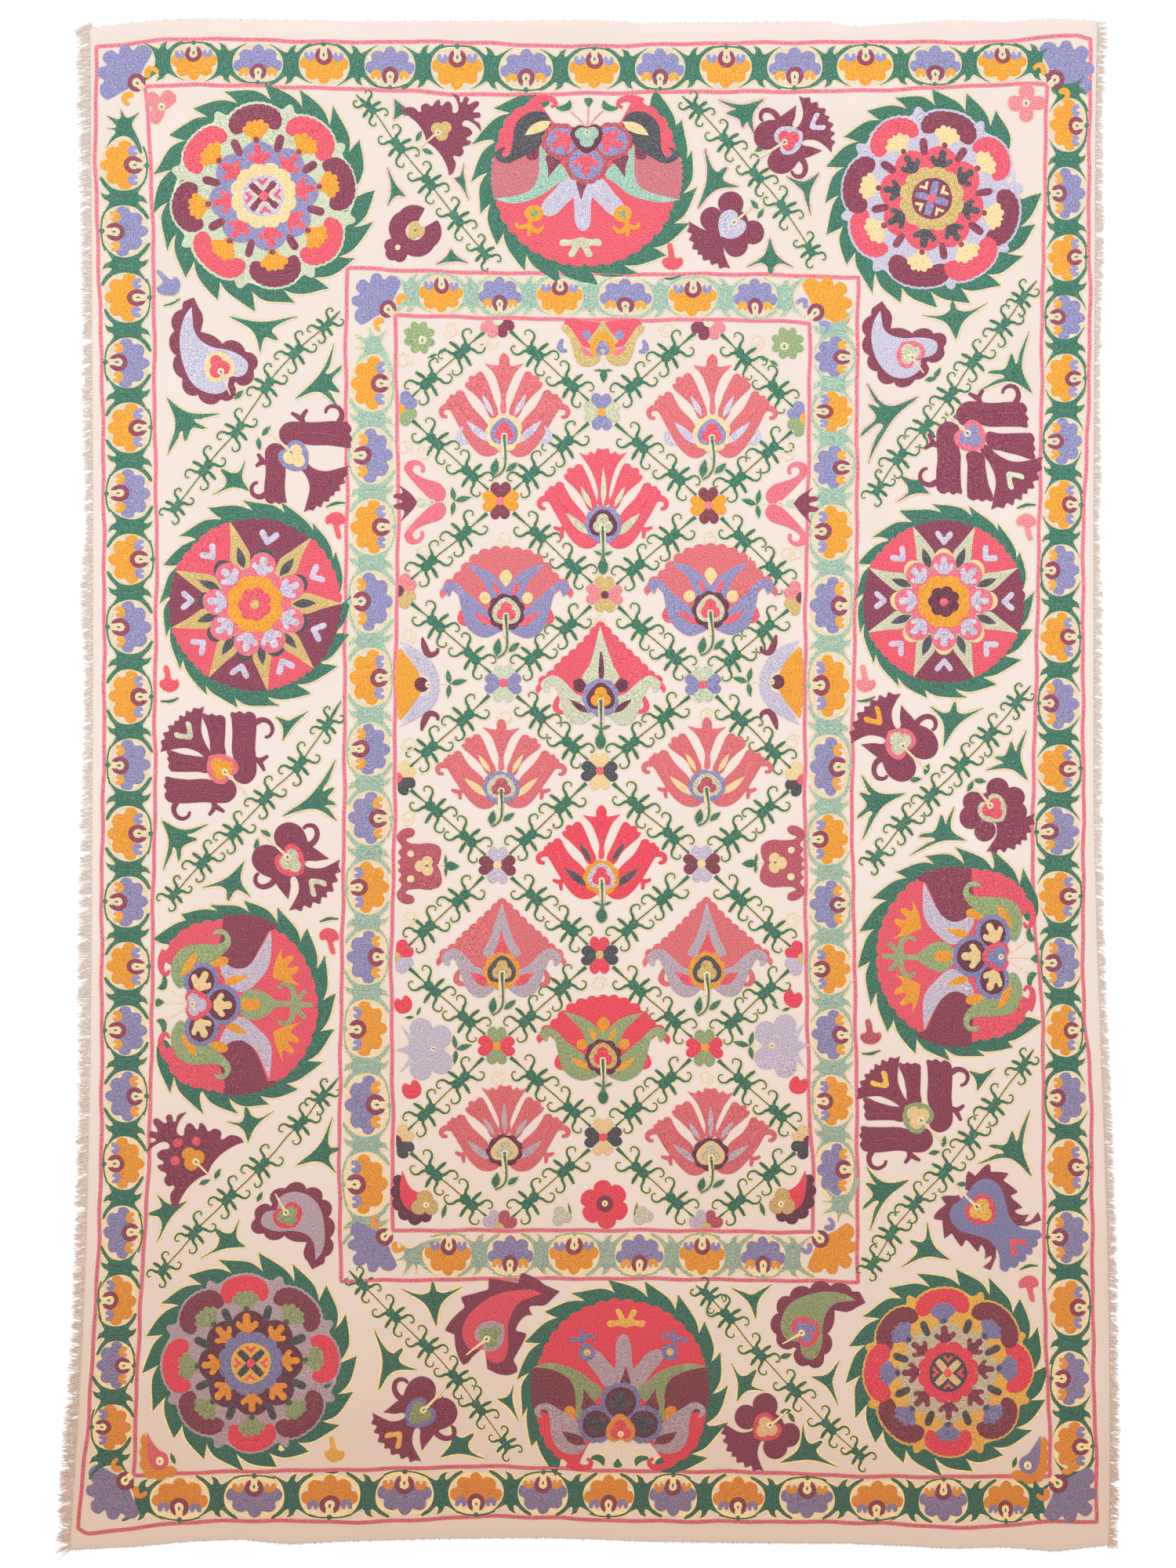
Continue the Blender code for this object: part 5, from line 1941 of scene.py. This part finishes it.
TUFT = 6.0            # mm from one tuft to the next
PER_TUFT = 9          # strands in a tuft
STRAND_POINTS = 5     # points along a strand


def fringe(name, side, column):
    """side is -1 for the left and 1 for the right. In SIDES, column holds the side's edge, and the one
    after it the length of its threads."""
    chance, paths = random.Random(name), []
    level = -HALF_LENGTH + 3
    while level < HALF_LENGTH - 3:
        edge, long = (float(np.interp(level, SIDES[:, 0], SIDES[:, column + k])) for k in (0, 1))
        long *= chance.uniform(0.84, 1.02)
        lean, wave, phase = chance.gauss(-0.20, 0.2), chance.uniform(0.4, 1.5), chance.uniform(0, 6.3)
        for n in range(PER_TUFT):
            off = chance.gauss(0, TUFT * 0.5)
            reach = long * min(1.0, chance.uniform(0.62, 1.05))
            own = lean + chance.gauss(0, 0.2)
            low = chance.uniform(0.1, 0.9)
            path = []
            for k in range(STRAND_POINTS):
                part = k / (STRAND_POINTS - 1)
                out = -1.5 + (reach + 1.0) * part
                gather = off * (1 - 0.45 * part)
                sway = wave * math.sin(phase + 5 * part + 0.25 * n) * part
                path.append((edge + side * out, level + gather + own * reach * part + sway,
                             max(low, 1.5 - 7 * part)))
            paths.append(path)
        level += TUFT * chance.uniform(0.8, 1.2)
    return strands(name, paths, thick=0.55)


for name, side, column in (("left", -1, LEFT_EDGE), ("right", 1, RIGHT_EDGE)):
    piece = fringe("fringe_threads_" + name, side, column)
    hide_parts("fringe_" + name)


def fuzz():
    """Broken ends of warp threads along the torn head and foot."""
    chance, paths = random.Random("fuzz"), []
    for column, out in ((HEAD_EDGE, 1), (FOOT_EDGE, -1)):
        x = ENDS[0, 0] + 4
        while x < ENDS[-1, 0] - 4:
            edge, reach = float(np.interp(x, ENDS[:, 0], ENDS[:, column])), chance.uniform(0.8, 4.5)
            lean, high = chance.gauss(0, 0.6), chance.uniform(0.3, 1.9)
            paths.append([(x + lean * reach * k / 3, edge + out * (reach + 1.0) * (k / 3) - out,
                           max(0.1, high - 0.2 * k)) for k in range(4)])
            x += chance.uniform(0.7, 2.0)
    return strands("torn_edge_fuzz", paths, thick=0.3)


fuzzy = fuzz()

# %% [markdown]
# ## Floor, light and camera

# %% Stage
def make_floor():
    """White paper under the cloth."""
    material, tree = new_material("floor_paper")
    shader = node(tree, "ShaderNodeBsdfPrincipled", in_Roughness=0.9)
    shader.inputs["Base Color"].default_value = linear("FAFAFA")
    node(tree, "ShaderNodeOutputMaterial", [("Surface", shader, 0)])
    mesh = bpy.data.meshes.new("floor")
    mesh.from_pydata([(-6, -6, 0), (6, -6, 0), (6, 6, 0), (-6, 6, 0)], [], [(0, 1, 2, 3)])
    mesh.materials.append(material)
    floor = add("floor", mesh)
    floor.location.z = -0.0004     # just clear of the sheet's underside


def make_light():
    """An even white room, and a soft sun from the upper left."""
    world = bpy.data.worlds.new("studio")
    world.use_nodes = True
    world.node_tree.nodes["Background"].inputs["Color"].default_value = (1, 1, 1, 1)
    world.node_tree.nodes["Background"].inputs["Strength"].default_value = 0.8
    bpy.context.scene.world = world
    sun = bpy.data.lights.new("soft_key", "SUN")
    sun.energy, sun.angle = 1.6, math.radians(35)
    add("soft_key", sun).rotation_euler = (math.radians(-38), math.radians(-22), 0)


FRAME_HEIGHT = 2.2     # m of floor that the picture shows from top to bottom
AIM = (-0.0011, 0.0011)


def make_camera():
    """Straight above, far enough for the cloth to look square on."""
    camera = bpy.data.cameras.new("camera")
    camera.lens, camera.sensor_width = 100.0, 36.0
    camera.clip_end = 30
    bpy.context.scene.camera = add("camera", camera)
    bpy.context.scene.camera.location = (*AIM, FRAME_HEIGHT * camera.lens / camera.sensor_width)


make_floor()
make_light()
make_camera()
bpy.context.scene.view_settings.view_transform = "Standard"
